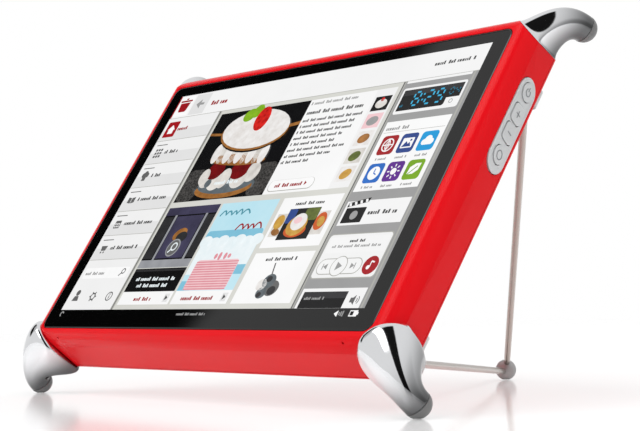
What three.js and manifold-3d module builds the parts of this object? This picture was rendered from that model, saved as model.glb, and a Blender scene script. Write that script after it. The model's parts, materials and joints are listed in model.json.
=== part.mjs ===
// A free-standing kitchen display tablet on four horn-shaped corner feet and a folding wire leg.
//
// Everything is modelled flat in the tablet's own axes first: X to the right across the screen,
// Y from the glass towards the back, Z up along the screen, origin in the middle of the picture.
// The whole tablet is then leaned back onto its two lower feet and the ball of the wire leg, and
// moved so that the origin is the middle of the footprint, on the surface that it stands on.

import * as THREE from 'three';
import { mergeVertices } from 'three/addons/utils/BufferGeometryUtils.js';
import Module from 'manifold-3d';

const wasm = await Module();
wasm.setup();

// ---- driving dimensions, millimetres and degrees ----
const LEAN = 34.58;               // how far the screen leans back from upright
const GAP = 0.3;                  // clearance between neighbouring pieces

const GLASS = { half: 120.6, top: 71.5, bottom: -75.4, corner: 4.5, thick: 1.1 };
const LCD = { half: 114, top: 66.5, bottom: -73.2, front: 1.5, back: 4.7 };
const PLATE = { half: 121.5, top: 75.5, bottom: -76.3, front: 5.1, back: 6.1 };

const CREASE = { half: 129.4, top: 80.8, bottom: -81.4, y: 7.5 };   // where bevel meets side wall
const BEVEL_TURN = 65;            // how far round the front bevel curves
const BEVEL_STEPS = 9;
const SIDE_TAPER = 0.2667;        // the side walls draw in towards the back
const BOTTOM_FLARE = 0.133;       // the bottom wall runs outwards towards the back
const TOP_TAPER = 0.05;
const SEAM_Y = 21.4;              // parting line between front frame and rear cover
const BACK_Y = 24;
const BACK_ROUND = 2.2;
const CAVITY = { half: 123, top: 77, bottom: -77.5, y: 4.3 };
const LEDGE_Y = 2.3;

const CORNER_CUT = 135.3;         // distance from the middle to the flat where a foot is fixed
const CORNER_X = 0.641;           // outward direction of that flat, across
const CORNER_Z = 0.7675;          // and up or down
const CORNER_MIDDLE = 45.25;      // how far along that flat its middle lies
const CORNER_WALL = 2.5;

const FOOT = { base: 12.3, tip: 5.8, endTurn: 78, flare: 2, steps: 12, sides: 20 };
// The lower feet reach further, to hold the tablet clear of the table, and swell round their base.
const LOWER_TIP = { out: 23.5, back: 22.3, swell: 3.4 };
const UPPER_TIP = { out: 17, back: 23.4, swell: 0.6 };
// Brings the peak of the swelling curve, which is at a seventh of the length, to one.
const SWELL_SCALE = 4.2;
const CORNERS = [
  { name: 'lower_left', x: -1, z: -1 },
  { name: 'lower_right', x: 1, z: -1 },
  { name: 'upper_left', x: -1, z: 1 },
  { name: 'upper_right', x: 1, z: 1 },
];
const BRACKETS = [
  { name: 'upper', low: 52.5, high: 60.5, flange: 69, screw: 65 },
  { name: 'lower', low: -68.3, high: -60.3, flange: -51.5, screw: -55.8 },
];
const PORTS = { power: -34, usb: -12, card: 18, y: 14 };
const CAP_STEM = 2;
const FACET = 0.3;                // depth of the flat worn on each resting point
const FOOT_SCREW_Y = 12.5;

const HINGE = { x: 116, y: 27, high: 47.8, low: -72.9 };
const BALL = { x: 0, y: 177.9, z: 13.7, r: 5.15 };
const ROD = 1.6;                  // radius of the leg's wire
const ROD_BEND = 4.5;
const WIRE_OFFSET = 0.9;          // each wire passes this far from the ball's middle
const WIRE_SHORT = 3;             // and stops this far short of it

const STRIP = { y: 14.1, z: 31, half: 6.3, length: 45.6, proud: 0.5, deep: 1.8 };
const BUTTON = { r: 4, proud: 0.95, flange: 0.7 };
const KEYS = [
  { name: 'power_button', z: 16.6, tall: 0 },
  { name: 'plus_button', z: 5.6, tall: 4.1 },
  { name: 'minus_button', z: -3.9, tall: 4.1 },
  { name: 'home_button', z: -14.6, tall: 0 },
];

const COVER_SCREWS_X = [-104, 0, 104];
const COVER_SCREW = { top: 74.4, bottom: -74.9, shank: 0.9, head: 1.9 };
const MICS_X = 105;

const PAINT = {
  red: { color: 0xd91f26, roughness: 0.3, metalness: 0 },
  glass: { color: 0x0c0c0d, roughness: 0.08, metalness: 0 },
  panel: { color: 0xf2f2f2, roughness: 0.4, metalness: 0 },
  chrome: { color: 0xd8dadc, roughness: 0.08, metalness: 1 },
  cap: { color: 0x6e6e6e, roughness: 0.45, metalness: 0 },
  steel: { color: 0xb5b5b5, roughness: 0.25, metalness: 1 },
  silver: { color: 0xbdbdbd, roughness: 0.35, metalness: 0.6 },
  black: { color: 0x1a1a1a, roughness: 0.6, metalness: 0 },
  alloy: { color: 0x9a9da0, roughness: 0.5, metalness: 0.8 },
  board: { color: 0x14532d, roughness: 0.5, metalness: 0 },
  cell: { color: 0x2c3e66, roughness: 0.5, metalness: 0 },
};

// ---- solids ----

// Turns a closed geometry into a solid for cutting and joining.
function solid(geometry) {
  const bare = geometry.clone();
  bare.deleteAttribute('normal');
  bare.deleteAttribute('uv');
  const merged = mergeVertices(bare, 1e-5);
  const vertProperties = new Float32Array(merged.attributes.position.array);
  const triVerts = new Uint32Array(merged.index.array);
  return new wasm.Manifold(new wasm.Mesh({ numProp: 3, vertProperties, triVerts }));
}

// Turns a solid back into a geometry.
function shape(body) {
  const mesh = body.getMesh();
  const geometry = new THREE.BufferGeometry();
  geometry.setAttribute('position', new THREE.BufferAttribute(new Float32Array(mesh.vertProperties), 3));
  geometry.setIndex(new THREE.BufferAttribute(new Uint32Array(mesh.triVerts), 1));
  geometry.computeVertexNormals();
  return geometry;
}

function cut(geometry, ...tools) {
  return shape(tools.reduce((body, tool) => body.subtract(solid(tool)), solid(geometry)));
}

function join(...pieces) {
  return shape(pieces.map(solid).reduce((body, piece) => body.add(piece)));
}

function box(x0, x1, y0, y1, z0, z1) {
  const geometry = new THREE.BoxGeometry(x1 - x0, y1 - y0, z1 - z0);
  return geometry.translate((x0 + x1) / 2, (y0 + y1) / 2, (z0 + z1) / 2);
}

// A cylinder whose axis runs from one point to the other.
function rod(from, to, radius, sides = 12) {
  const axis = new THREE.Vector3().subVectors(to, from);
  const geometry = new THREE.CylinderGeometry(radius, radius, axis.length(), sides);
  const ahead = axis.clone().normalize();
  const turn = new THREE.Quaternion().setFromUnitVectors(new THREE.Vector3(0, 1, 0), ahead);
  const middle = new THREE.Vector3().addVectors(from, to).multiplyScalar(0.5);
  return geometry.applyQuaternion(turn).translate(middle.x, middle.y, middle.z);
}

// An outline in X and Z, given depth from front to back.
function slab(outline, front, back, curveSegments = 6) {
  const depth = back - front;
  const geometry = new THREE.ExtrudeGeometry(outline, { depth, bevelEnabled: false, curveSegments });
  return geometry.rotateX(Math.PI / 2).translate(0, back, 0);
}

// A rounded rectangle outline.
function roundedOutline(x0, x1, z0, z1, r) {
  const outline = new THREE.Shape();
  outline.moveTo(x0 + r, z0);
  outline.lineTo(x1 - r, z0);
  outline.absarc(x1 - r, z0 + r, r, -Math.PI / 2, 0, false);
  outline.lineTo(x1, z1 - r);
  outline.absarc(x1 - r, z1 - r, r, 0, Math.PI / 2, false);
  outline.lineTo(x0 + r, z1);
  outline.absarc(x0 + r, z1 - r, r, Math.PI / 2, Math.PI, false);
  outline.lineTo(x0, z0 + r);
  outline.absarc(x0 + r, z0 + r, r, Math.PI, 1.5 * Math.PI, false);
  return outline;
}

// Skins a stack of rings that all have the same number of points, and closes both ends.
function loft(rings) {
  const count = rings[0].length;
  const points = rings.flat();
  const faces = [];
  for (let row = 0; row < rings.length - 1; row += 1) {
    for (let i = 0; i < count; i += 1) {
      const a = row * count + i;
      const b = row * count + (i + 1) % count;
      faces.push(a, b, b + count, a, b + count, a + count);
    }
  }
  for (const [row, flip] of [[0, true], [rings.length - 1, false]]) {
    const middle = rings[row].reduce((sum, p) => sum.add(p), new THREE.Vector3()).divideScalar(count);
    const centre = points.push(middle) - 1;
    for (let i = 0; i < count; i += 1) {
      const edge = [row * count + i, row * count + (i + 1) % count];
      faces.push(centre, ...(flip ? edge.reverse() : edge));
    }
  }
  const volume = signedVolume(points, faces);
  const geometry = new THREE.BufferGeometry().setFromPoints(points);
  geometry.setIndex(volume > 0 ? faces : faces.reverse());
  geometry.computeVertexNormals();
  return geometry;
}

function signedVolume(points, faces) {
  let sum = 0;
  for (let i = 0; i < faces.length; i += 3) {
    const [a, b, c] = [points[faces[i]], points[faces[i + 1]], points[faces[i + 2]]];
    sum += a.dot(new THREE.Vector3().crossVectors(b, c));
  }
  return sum;
}

// ---- the body's outline ----

// Half width, top and bottom of the body at a depth behind the glass.
function bodySize(y) {
  const lip = { half: GLASS.half + GAP, top: GLASS.top + GAP, bottom: GLASS.bottom - GAP };
  if (y < CREASE.y) {
    const turn = THREE.MathUtils.degToRad(BEVEL_TURN);
    const angle = Math.acos(1 - (y / CREASE.y) * (1 - Math.cos(turn)));
    const share = Math.sin(angle) / Math.sin(turn);
    return {
      half: THREE.MathUtils.lerp(lip.half, CREASE.half, share),
      top: THREE.MathUtils.lerp(lip.top, CREASE.top, share),
      bottom: THREE.MathUtils.lerp(lip.bottom, CREASE.bottom, share),
    };
  }
  const run = y - CREASE.y;
  const rise = Math.max(0, y - (BACK_Y - BACK_ROUND));
  const inset = BACK_ROUND - Math.sqrt(Math.max(0, BACK_ROUND ** 2 - rise ** 2));
  return {
    half: CREASE.half - SIDE_TAPER * run - inset,
    top: CREASE.top - TOP_TAPER * run - inset,
    bottom: CREASE.bottom - BOTTOM_FLARE * run + inset,
  };
}

// Where the corner flat meets the side (first) and the top or bottom (second).
function cornerPoints(half, height, limit = CORNER_CUT) {
  const depth = Math.max(0.5, CORNER_X * half + CORNER_Z * height - limit);
  return [[half, height - depth / CORNER_Z], [half - depth / CORNER_X, height]];
}

// The eight-sided outline of a rectangle with its corners taken off.
function eightSided({ half, top, bottom }, y, limit) {
  const [topSide, topEnd] = cornerPoints(half, top, limit);
  const [lowSide, lowEnd] = cornerPoints(half, -bottom, limit);
  const right = [[lowEnd[0], -lowEnd[1]], [lowSide[0], -lowSide[1]], topSide, topEnd];
  const left = right.map(([x, z]) => [-x, z]).reverse();
  return [...right, ...left].map(([x, z]) => new THREE.Vector3(x, y, z));
}

function bevelDepths() {
  const depths = [];
  for (let i = 0; i <= BEVEL_STEPS; i += 1) {
    const angle = THREE.MathUtils.degToRad(BEVEL_TURN * i / BEVEL_STEPS);
    const full = 1 - Math.cos(THREE.MathUtils.degToRad(BEVEL_TURN));
    depths.push(CREASE.y * (1 - Math.cos(angle)) / full);
  }
  return depths;
}

function bodyLoft(depths) {
  return loft(depths.map((y) => eightSided(bodySize(y), y)));
}

function cavity(size, front, back, limit) {
  return loft([front, back].map((y) => eightSided(size, y, limit)));
}

// ---- housing ----

function bossAt(x, z) {
  return rod(new THREE.Vector3(x, 9, z), new THREE.Vector3(x, SEAM_Y - 0.1, z), 3.4);
}

function coverScrewPlaces() {
  const rows = [COVER_SCREW.bottom, COVER_SCREW.top];
  return rows.flatMap((z) => COVER_SCREWS_X.map((x) => new THREE.Vector3(x, 0, z)));
}

function frontFrame() {
  const shell = cut(
    bodyLoft([...bevelDepths(), SEAM_Y]),
    cavity(CAVITY, CAVITY.y, SEAM_Y + 1, CORNER_CUT - CORNER_WALL),
    slab(roundedOutline(-GLASS.half - GAP, GLASS.half + GAP, GLASS.bottom - GAP, GLASS.top + GAP,
      GLASS.corner + GAP), -1, LEDGE_Y),
    box(-LCD.half - GAP, LCD.half + GAP, 1, 5, LCD.bottom - GAP, LCD.top + GAP),
  );
  const bosses = coverScrewPlaces().map((p) => bossAt(p.x, p.z));
  const pilots = coverScrewPlaces().map((p) => rod(new THREE.Vector3(p.x, 12, p.z),
    new THREE.Vector3(p.x, 30, p.z), COVER_SCREW.shank + GAP, 8));
  const micHoles = [-MICS_X, MICS_X].map((x) => rod(new THREE.Vector3(x, 1.2, -81.2),
    new THREE.Vector3(x, 7.6, -72.7), 0.6, 10));
  const footHoles = CORNERS.map((corner) => rod(cornerPoint(corner, -6, FOOT_SCREW_Y),
    cornerPoint(corner, 4, FOOT_SCREW_Y), 1.6, 12));
  const tools = [...pilots, ...micHoles, ...footHoles, ...stripPockets(), ...portHoles()];
  return cut(join(shell, ...bosses), ...tools);
}

function speakerSlots() {
  const slots = [];
  for (const side of [-1, 1]) {
    for (let i = 0; i < 5; i += 1) {
      const z = -68 + 3 * i;
      const x = side * 88;
      slots.push(slab(roundedOutline(x - 13, x + 13, z - 0.7, z + 0.7, 0.69), 21, 26, 2));
    }
  }
  return slots;
}

function rearCover() {
  const depths = [SEAM_Y + GAP, BACK_Y - BACK_ROUND];
  for (const turn of [30, 60, 90]) {
    depths.push(BACK_Y - BACK_ROUND + BACK_ROUND * Math.sin(THREE.MathUtils.degToRad(turn)));
  }
  const pocket = cavity({ half: 120.5, top: 69.5, bottom: -69.8 }, SEAM_Y - 1, BACK_Y - 1.8, 128);
  const holes = coverScrewPlaces().map((p) => rod(new THREE.Vector3(p.x, 20, p.z),
    new THREE.Vector3(p.x, 26, p.z), COVER_SCREW.shank + GAP, 8));
  const sinks = coverScrewPlaces().map((p) => rod(new THREE.Vector3(p.x, 22.6, p.z),
    new THREE.Vector3(p.x, 26, p.z), COVER_SCREW.head + GAP, 12));
  const bracketHoles = BRACKETS.map((b) => rod(new THREE.Vector3(HINGE.x, 20, b.screw),
    new THREE.Vector3(HINGE.x, 26, b.screw), 1.2, 12));
  return cut(bodyLoft(depths), pocket, ...holes, ...sinks, ...bracketHoles, ...speakerSlots());
}

// A pan-head screw pointing towards the glass, its head's outer face at a depth.
function screw(x, z, face, length, { shank, head, thick = 1.1 }) {
  const profile = [[0, 0], [shank, 0], [shank, length - thick], [head, length - thick],
    [head, length - 0.3], [head - 0.3, length], [0, length]];
  const geometry = new THREE.LatheGeometry(profile.map(([r, h]) => new THREE.Vector2(r, h)), 10);
  return geometry.translate(x, face - length, z);
}

// ---- display stack ----

function touchGlass() {
  const outline = roundedOutline(-GLASS.half, GLASS.half, GLASS.bottom, GLASS.top, GLASS.corner);
  return slab(outline, 0, GLASS.thick, 5);
}

function displayGasket() {
  const outer = roundedOutline(-GLASS.half + 0.4, GLASS.half - 0.4, GLASS.bottom + 0.3, GLASS.top - 0.4, 4);
  const window = new THREE.Path();
  const opening = roundedOutline(-LCD.half - 1, LCD.half + 1, LCD.bottom - 0.7, LCD.top + 1, 0.8);
  window.setFromPoints(opening.getPoints(3));
  outer.holes.push(window);
  return slab(outer, GLASS.thick + GAP, LEDGE_Y - GAP, 3);
}

function lcdPanel() {
  return box(-LCD.half, LCD.half, LCD.front, LCD.back, LCD.bottom, LCD.top);
}

function chassisPlate() {
  const slots = [box(-20, 12, 4, 7, 60, 63)];
  for (const x of [-80, 80]) {
    for (const z of [-40, 0, 40]) {
      slots.push(box(x - 12, x + 12, 4, 7, z - 5, z + 5));
    }
  }
  return cut(cavity(PLATE, PLATE.front, PLATE.back, CORNER_CUT - CORNER_WALL - 1), ...slots);
}

function displayRibbon() {
  return box(-18, 10, LCD.back + GAP, 7.7, 61.2, 61.8);
}

// ---- electronics ----

function batteryPack() {
  return slab(roundedOutline(-62, 62, -64, -6, 3), 6.8, 12.6, 4);
}

function mainBoard() {
  const board = slab(roundedOutline(-66, 66, 2, 66, 2), 8, 9.4, 3);
  const chips = [
    box(-54, -38, 9.2, 10.8, 14, 30),
    box(-10, 4, 9.2, 10.4, 44, 58),
    box(44, 58, 9.2, 12, 8, 20),
  ];
  const holes = boardScrewPlaces().map((p) => rod(new THREE.Vector3(p.x, 7, p.z),
    new THREE.Vector3(p.x, 11, p.z), 1.2, 12));
  return cut(join(board, ...chips), ...holes);
}

function boardScrewPlaces() {
  return [-62, 62].flatMap((x) => [6, 62].map((z) => new THREE.Vector3(x, 0, z)));
}

function speakerBox(side) {
  const x = side * 88;
  const body = slab(roundedOutline(x - 17, x + 17, -70, -50, 2.5), 8, 17.5, 4);
  const horn = slab(roundedOutline(x - 14, x + 14, -69, -53.5, 2), 17.2, 19.5, 4);
  const mouth = slab(roundedOutline(x - 13, x + 13, -68, -54.5, 1.8), 18, 20, 4);
  return cut(join(body, horn), mouth);
}

function wifiAntenna() {
  return box(-112, -74, 9, 13, 68, 69);
}

// ---- side buttons, in axes turned square to the right-hand wall ----

function stadium(half, length, grow = 0) {
  const r = half + grow;
  return roundedOutline(-r, r, -length / 2 - grow, length / 2 + grow, r - 0.01);
}

// An outline in the wall's own Y and Z, given thickness along its outward X.
function wallSlab(outline, inner, outer, curveSegments = 4) {
  const depth = outer - inner;
  const geometry = new THREE.ExtrudeGeometry(outline, { depth, bevelEnabled: false, curveSegments });
  geometry.rotateX(Math.PI / 2).rotateZ(Math.PI / 2);
  return geometry.translate(inner, 0, 0);
}

function keyOutline(key, grow) {
  const r = BUTTON.r + grow;
  const half = key.tall > 0 ? key.tall + grow : r;
  const round = key.tall > 0 ? 2.2 : r - 0.01;
  return roundedOutline(-r, r, key.z - half, key.z + half, round);
}

function buttonPanel() {
  const plate = wallSlab(stadium(STRIP.half, STRIP.length), -STRIP.deep, STRIP.proud);
  const openings = KEYS.map((key) => wallSlab(keyOutline(key, GAP), -STRIP.deep - 1, STRIP.proud + 1));
  return cut(plate, ...openings);
}

function keyCap(key) {
  const stem = wallSlab(keyOutline(key, 0), -STRIP.deep - GAP - 0.4, BUTTON.proud);
  const wider = key.tall > 0 ? 0 : BUTTON.flange;
  const flange = wallSlab(keyOutline(key, wider), -STRIP.deep - GAP - 1, -STRIP.deep - GAP);
  const plunger = rod(new THREE.Vector3(-3.7, 0, key.z), new THREE.Vector3(-2.5, 0, key.z), 1.2);
  return join(stem, flange, plunger);
}

function buttonBoard() {
  const board = box(-6.6, -5.6, -3.8, 3.8, -19.3, 19.3);
  const switches = KEYS.map((key) => box(-5.8, -4.6, -1.8, 1.8, key.z - 1.8, key.z + 1.8));
  return join(board, ...switches);
}

function wallTurn() {
  return new THREE.Matrix4().makeRotationZ(Math.atan(SIDE_TAPER));
}

function wallPlace() {
  const x = CREASE.half - SIDE_TAPER * (STRIP.y - CREASE.y);
  return new THREE.Matrix4().makeTranslation(x, STRIP.y, STRIP.z).multiply(wallTurn());
}

function stripPockets() {
  const seat = wallSlab(stadium(STRIP.half, STRIP.length, GAP), -STRIP.deep - GAP, 3);
  const through = wallSlab(stadium(STRIP.half - 1.2, STRIP.length - 2.4), -12, 0);
  return [seat, through].map((tool) => tool.applyMatrix4(wallPlace()));
}

// ---- sockets behind the left-hand wall ----

function powerRod(from, to, radius, sides = 16) {
  const start = new THREE.Vector3(from, PORTS.y, PORTS.power);
  const end = new THREE.Vector3(to, PORTS.y, PORTS.power);
  return rod(start, end, radius, sides);
}

function portHoles() {
  const power = powerRod(-140, -115, 1.9);
  const usb = box(-140, -115, PORTS.y - 1.9, PORTS.y + 1.9, PORTS.usb - 6.2, PORTS.usb + 6.2);
  const card = box(-140, -115, PORTS.y - 1.1, PORTS.y + 1.1, PORTS.card - 12.4, PORTS.card + 12.4);
  return [power, usb, card];
}

function powerInlet() {
  const block = box(-122.7, -111, PORTS.y - 4, PORTS.y + 4, PORTS.power - 4.5, PORTS.power + 4.5);
  const bore = powerRod(-130, -113, 1.9);
  const pin = powerRod(-121.5, -112, 0.7, 10);
  return join(cut(block, bore), pin);
}

function usbPort() {
  const block = box(-122.7, -110, PORTS.y - 2.8, PORTS.y + 2.8, PORTS.usb - 7, PORTS.usb + 7);
  const mouth = box(-125, -112, PORTS.y - 1.9, PORTS.y + 1.9, PORTS.usb - 6.2, PORTS.usb + 6.2);
  const tongue = box(-121, -111, PORTS.y + 0.2, PORTS.y + 1, PORTS.usb - 5, PORTS.usb + 5);
  return join(cut(block, mouth), tongue);
}

function cardReader() {
  const block = box(-122.7, -94, PORTS.y - 2, PORTS.y + 2, PORTS.card - 14, PORTS.card + 14);
  const mouth = box(-125, -98, PORTS.y - 1.1, PORTS.y + 1.1, PORTS.card - 12.4, PORTS.card + 12.4);
  return cut(block, mouth);
}

// ---- feet: each one grows out of the flat taken off a corner ----

// A point beside a corner: distance out from its flat, depth behind the glass, distance across.
function cornerPoint(corner, out, y, across = 0) {
  const x = CORNER_X * (CORNER_CUT + out) + CORNER_Z * (CORNER_MIDDLE + across);
  const z = CORNER_Z * (CORNER_CUT + out) - CORNER_X * (CORNER_MIDDLE + across);
  return new THREE.Vector3(corner.x * x, y, corner.z * z);
}

// The outline of the flat where a foot is fixed, as distance across and depth behind the glass.
function flatOutline(corner) {
  const sideEdge = [];
  const endEdge = [];
  for (const y of [...bevelDepths(), BACK_Y - BACK_ROUND, BACK_Y - 0.8, BACK_Y - 0.1]) {
    const { half, top, bottom } = bodySize(y);
    const height = corner.z > 0 ? top : -bottom;
    if (CORNER_X * half + CORNER_Z * height > CORNER_CUT + 0.5) {
      const [side, end] = cornerPoints(half, height);
      sideEdge.push(new THREE.Vector2(CORNER_Z * side[0] - CORNER_X * side[1] - CORNER_MIDDLE, y));
      endEdge.push(new THREE.Vector2(CORNER_Z * end[0] - CORNER_X * end[1] - CORNER_MIDDLE, y));
    }
  }
  return [...sideEdge, ...endEdge.reverse()];
}

// Distance from the middle of a closed outline to its edge in one direction.
function reach(outline, middle, angle) {
  const ahead = new THREE.Vector2(Math.cos(angle), Math.sin(angle));
  let best = 0;
  outline.forEach((start, i) => {
    const a = start.clone().sub(middle);
    const edge = outline[(i + 1) % outline.length].clone().sub(start);
    const scale = ahead.cross(edge);
    const along = a.cross(edge) / scale;
    const share = a.cross(ahead) / scale;
    if (Math.abs(scale) > 1e-9 && share >= -1e-6 && share <= 1 + 1e-6) {
      best = Math.max(best, along);
    }
  });
  return best;
}

// How far out and back the tip of a corner's foot is, and how much the foot swells near its base.
function tipOf(corner) {
  return corner.z < 0 ? LOWER_TIP : UPPER_TIP;
}

function tipCentre(corner) {
  const tip = tipOf(corner);
  return cornerPoint(corner, tip.out, tip.back);
}

// The rings of a horn that leaves the flat squarely, then turns towards the back as it narrows.
function hornRings(corner) {
  const outline = flatOutline(corner);
  const middle = new THREE.Vector2(0, FOOT.base);
  const tip = tipOf(corner);
  const endTurn = THREE.MathUtils.degToRad(FOOT.endTurn);
  const end = new THREE.Vector2(tip.out - GAP * Math.cos(endTurn), tip.back - GAP * Math.sin(endTurn));
  const bend = new THREE.Vector2(end.x - (end.y - FOOT.base) / Math.tan(endTurn), FOOT.base);
  const spine = new THREE.QuadraticBezierCurve(new THREE.Vector2(GAP, FOOT.base), bend, end);
  const rings = [];
  for (let step = 0; step <= FOOT.steps; step += 1) {
    const t = step / FOOT.steps;
    const place = spine.getPoint(t);
    const turn = step === 0 ? 0 : spine.getTangent(t).angle();
    const flare = (1 - t) ** FOOT.flare;
    const swell = tip.swell * SWELL_SCALE * Math.sqrt(t) * (1 - t) ** 3;
    const ring = [];
    for (let i = 0; i < FOOT.sides; i += 1) {
      const angle = 2 * Math.PI * i / FOOT.sides;
      const radius = THREE.MathUtils.lerp(FOOT.tip, reach(outline, middle, angle), flare) + swell;
      const away = radius * Math.sin(angle);
      ring.push(cornerPoint(corner, place.x - away * Math.sin(turn), place.y + away * Math.cos(turn),
        radius * Math.cos(angle)));
    }
    rings.push(ring);
  }
  return rings;
}

// The direction in which a horn's tip points.
function tipAxis(corner) {
  const turn = THREE.MathUtils.degToRad(FOOT.endTurn);
  const out = Math.cos(turn);
  return new THREE.Vector3(corner.x * CORNER_X * out, Math.sin(turn), corner.z * CORNER_Z * out).normalize();
}

function foot(corner) {
  const end = tipCentre(corner);
  const stemHole = rod(end, end.clone().addScaledVector(tipAxis(corner), -5.5), CAP_STEM + GAP, 12);
  const screwHole = rod(cornerPoint(corner, -1, FOOT_SCREW_Y), cornerPoint(corner, 9, FOOT_SCREW_Y), 1.6, 12);
  return cut(loft(hornRings(corner)), stemHole, screwHole);
}

function footScrew(corner) {
  const inner = -CORNER_WALL - GAP;
  const at = (out) => cornerPoint(corner, out, FOOT_SCREW_Y);
  const head = rod(at(inner - 1.4), at(inner), 2.4);
  const shank = rod(at(inner - 0.5), at(8), 1.3, 12);
  return join(head, shank);
}

// ---- what the tablet stands on ----

// A block that trims a resting ball so that it sits on a small flat.
function floorTrim(centre, radius) {
  const block = box(-10, 10, -10, 10, -20, -radius + FACET);
  block.rotateX(THREE.MathUtils.degToRad(LEAN));
  return block.translate(centre.x, centre.y, centre.z);
}

function footCap(corner) {
  const centre = tipCentre(corner);
  const profile = [[0, -4.5], [CAP_STEM, -4.5], [CAP_STEM, 0]];
  const domeSteps = 5;
  for (let i = 0; i <= domeSteps; i += 1) {
    const angle = (Math.PI / 2) * (i / domeSteps);
    profile.push([FOOT.tip * Math.cos(angle), FOOT.tip * Math.sin(angle)]);
  }
  profile[profile.length - 1][0] = 0;
  const cap = new THREE.LatheGeometry(profile.map(([r, h]) => new THREE.Vector2(r, h)), 16);
  cap.applyQuaternion(new THREE.Quaternion().setFromUnitVectors(new THREE.Vector3(0, 1, 0), tipAxis(corner)));
  cap.translate(centre.x, centre.y, centre.z);
  return corner.z < 0 ? cut(cap, floorTrim(centre, FOOT.tip)) : cap;
}

// ---- folding wire leg ----

function ballCentre() {
  return new THREE.Vector3(BALL.x, BALL.y, BALL.z);
}

// The two wires reach the ball a little to either side of its middle.
function wireEnd(cornerZ) {
  const bend = new THREE.Vector3(HINGE.x, HINGE.y, cornerZ);
  const other = new THREE.Vector3(HINGE.x, HINGE.y, cornerZ > 0 ? HINGE.low : HINGE.high);
  const along = ballCentre().sub(bend).normalize();
  const apart = bend.clone().sub(other);
  apart.sub(along.clone().multiplyScalar(apart.dot(along))).normalize();
  const aim = ballCentre().add(apart.multiplyScalar(WIRE_OFFSET));
  return { bend, aim, along: aim.clone().sub(bend).normalize() };
}

function wirePath(cornerZ, pinEnd) {
  const { bend, aim, along } = wireEnd(cornerZ);
  const pinBend = bend.clone().add(new THREE.Vector3(0, 0, ROD_BEND));
  const outBend = bend.clone().add(along.clone().multiplyScalar(ROD_BEND));
  const end = aim.clone().sub(along.clone().multiplyScalar(WIRE_SHORT));
  const path = new THREE.CurvePath();
  path.add(new THREE.LineCurve3(new THREE.Vector3(HINGE.x, HINGE.y, pinEnd), pinBend));
  path.add(new THREE.QuadraticBezierCurve3(pinBend, bend, outBend));
  path.add(new THREE.LineCurve3(outBend, end));
  return path;
}

function wire(cornerZ, pinEnd) {
  const section = new THREE.Shape();
  section.absarc(0, 0, ROD, 0, 2 * Math.PI, false);
  return new THREE.ExtrudeGeometry(section, {
    steps: 32,
    curveSegments: 4,
    extrudePath: wirePath(cornerZ, pinEnd),
  });
}

function ballFoot() {
  const ball = new THREE.SphereGeometry(BALL.r, 16, 10);
  ball.translate(BALL.x, BALL.y, BALL.z);
  const sockets = [HINGE.high, HINGE.low].map((cornerZ) => {
    const { aim, along } = wireEnd(cornerZ);
    const inner = aim.clone().sub(along.clone().multiplyScalar(WIRE_SHORT - GAP));
    return rod(inner, inner.clone().sub(along.clone().multiplyScalar(8)), ROD + GAP, 12);
  });
  return cut(ball, ...sockets, floorTrim(ballCentre(), BALL.r));
}

function bracket({ low, high, flange, screw: screwZ }) {
  const back = BACK_Y + GAP;
  const half = 3.4;
  const profile = new THREE.Shape();
  profile.moveTo(-half, back);
  profile.lineTo(half, back);
  profile.lineTo(half, HINGE.y);
  profile.absarc(0, HINGE.y, half, 0, Math.PI, false);
  profile.lineTo(-half, back);
  const depth = high - low;
  const knuckle = new THREE.ExtrudeGeometry(profile, { depth, bevelEnabled: false, curveSegments: 10 });
  knuckle.translate(HINGE.x, 0, low);
  const tongue = box(HINGE.x - half, HINGE.x + half, back, back + 2, high - 0.5, flange);
  const boreStart = new THREE.Vector3(HINGE.x, HINGE.y, low - 1);
  const boreEnd = new THREE.Vector3(HINGE.x, HINGE.y, high - 0.8);
  const bore = rod(boreStart, boreEnd, ROD + GAP);
  const hole = rod(new THREE.Vector3(HINGE.x, 20, screwZ), new THREE.Vector3(HINGE.x, 30, screwZ), 1.2, 12);
  return cut(join(knuckle, tongue), bore, hole);
}

// ---- assembly ----

const tablet = new THREE.Group();
tablet.rotation.x = -THREE.MathUtils.degToRad(LEAN);
const group = new THREE.Group();
group.add(tablet);

function add(name, geometry, paint, parent = tablet) {
  const mesh = new THREE.Mesh(geometry, new THREE.MeshStandardMaterial(paint));
  mesh.name = name;
  parent.add(mesh);
}

add('front_frame', frontFrame(), PAINT.red);
add('rear_cover', rearCover(), PAINT.red);
add('touch_glass', touchGlass(), PAINT.glass);
add('display_gasket', displayGasket(), PAINT.black);
add('lcd_panel', lcdPanel(), PAINT.panel);
add('chassis_plate', chassisPlate(), PAINT.alloy);
add('display_ribbon', displayRibbon(), PAINT.black);
add('battery_pack', batteryPack(), PAINT.cell);
add('main_board', mainBoard(), PAINT.board);
add('processor_shield', box(14, 36, 9.7, 12.2, 26, 48), PAINT.alloy);
add('wifi_module', box(-40, -22, 9.7, 11.8, 40, 56), PAINT.alloy);
add('wifi_antenna', wifiAntenna(), PAINT.steel);
add('power_inlet', powerInlet(), PAINT.black);
add('usb_port', usbPort(), PAINT.steel);
add('card_reader', cardReader(), PAINT.steel);

for (const [name, side] of [['left', -1], ['right', 1]]) {
  add(`speaker_${name}`, speakerBox(side), PAINT.black);
  const x = side * MICS_X;
  add(`microphone_${name}`, box(x - 2, x + 2, 7.4, 8.4, -76.8, -73.8), PAINT.steel);
}

const wall = new THREE.Group();
wall.applyMatrix4(wallPlace());
tablet.add(wall);
add('button_panel', buttonPanel(), PAINT.silver, wall);
add('button_board', buttonBoard(), PAINT.board, wall);
for (const key of KEYS) {
  add(key.name, keyCap(key), PAINT.silver, wall);
}

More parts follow.
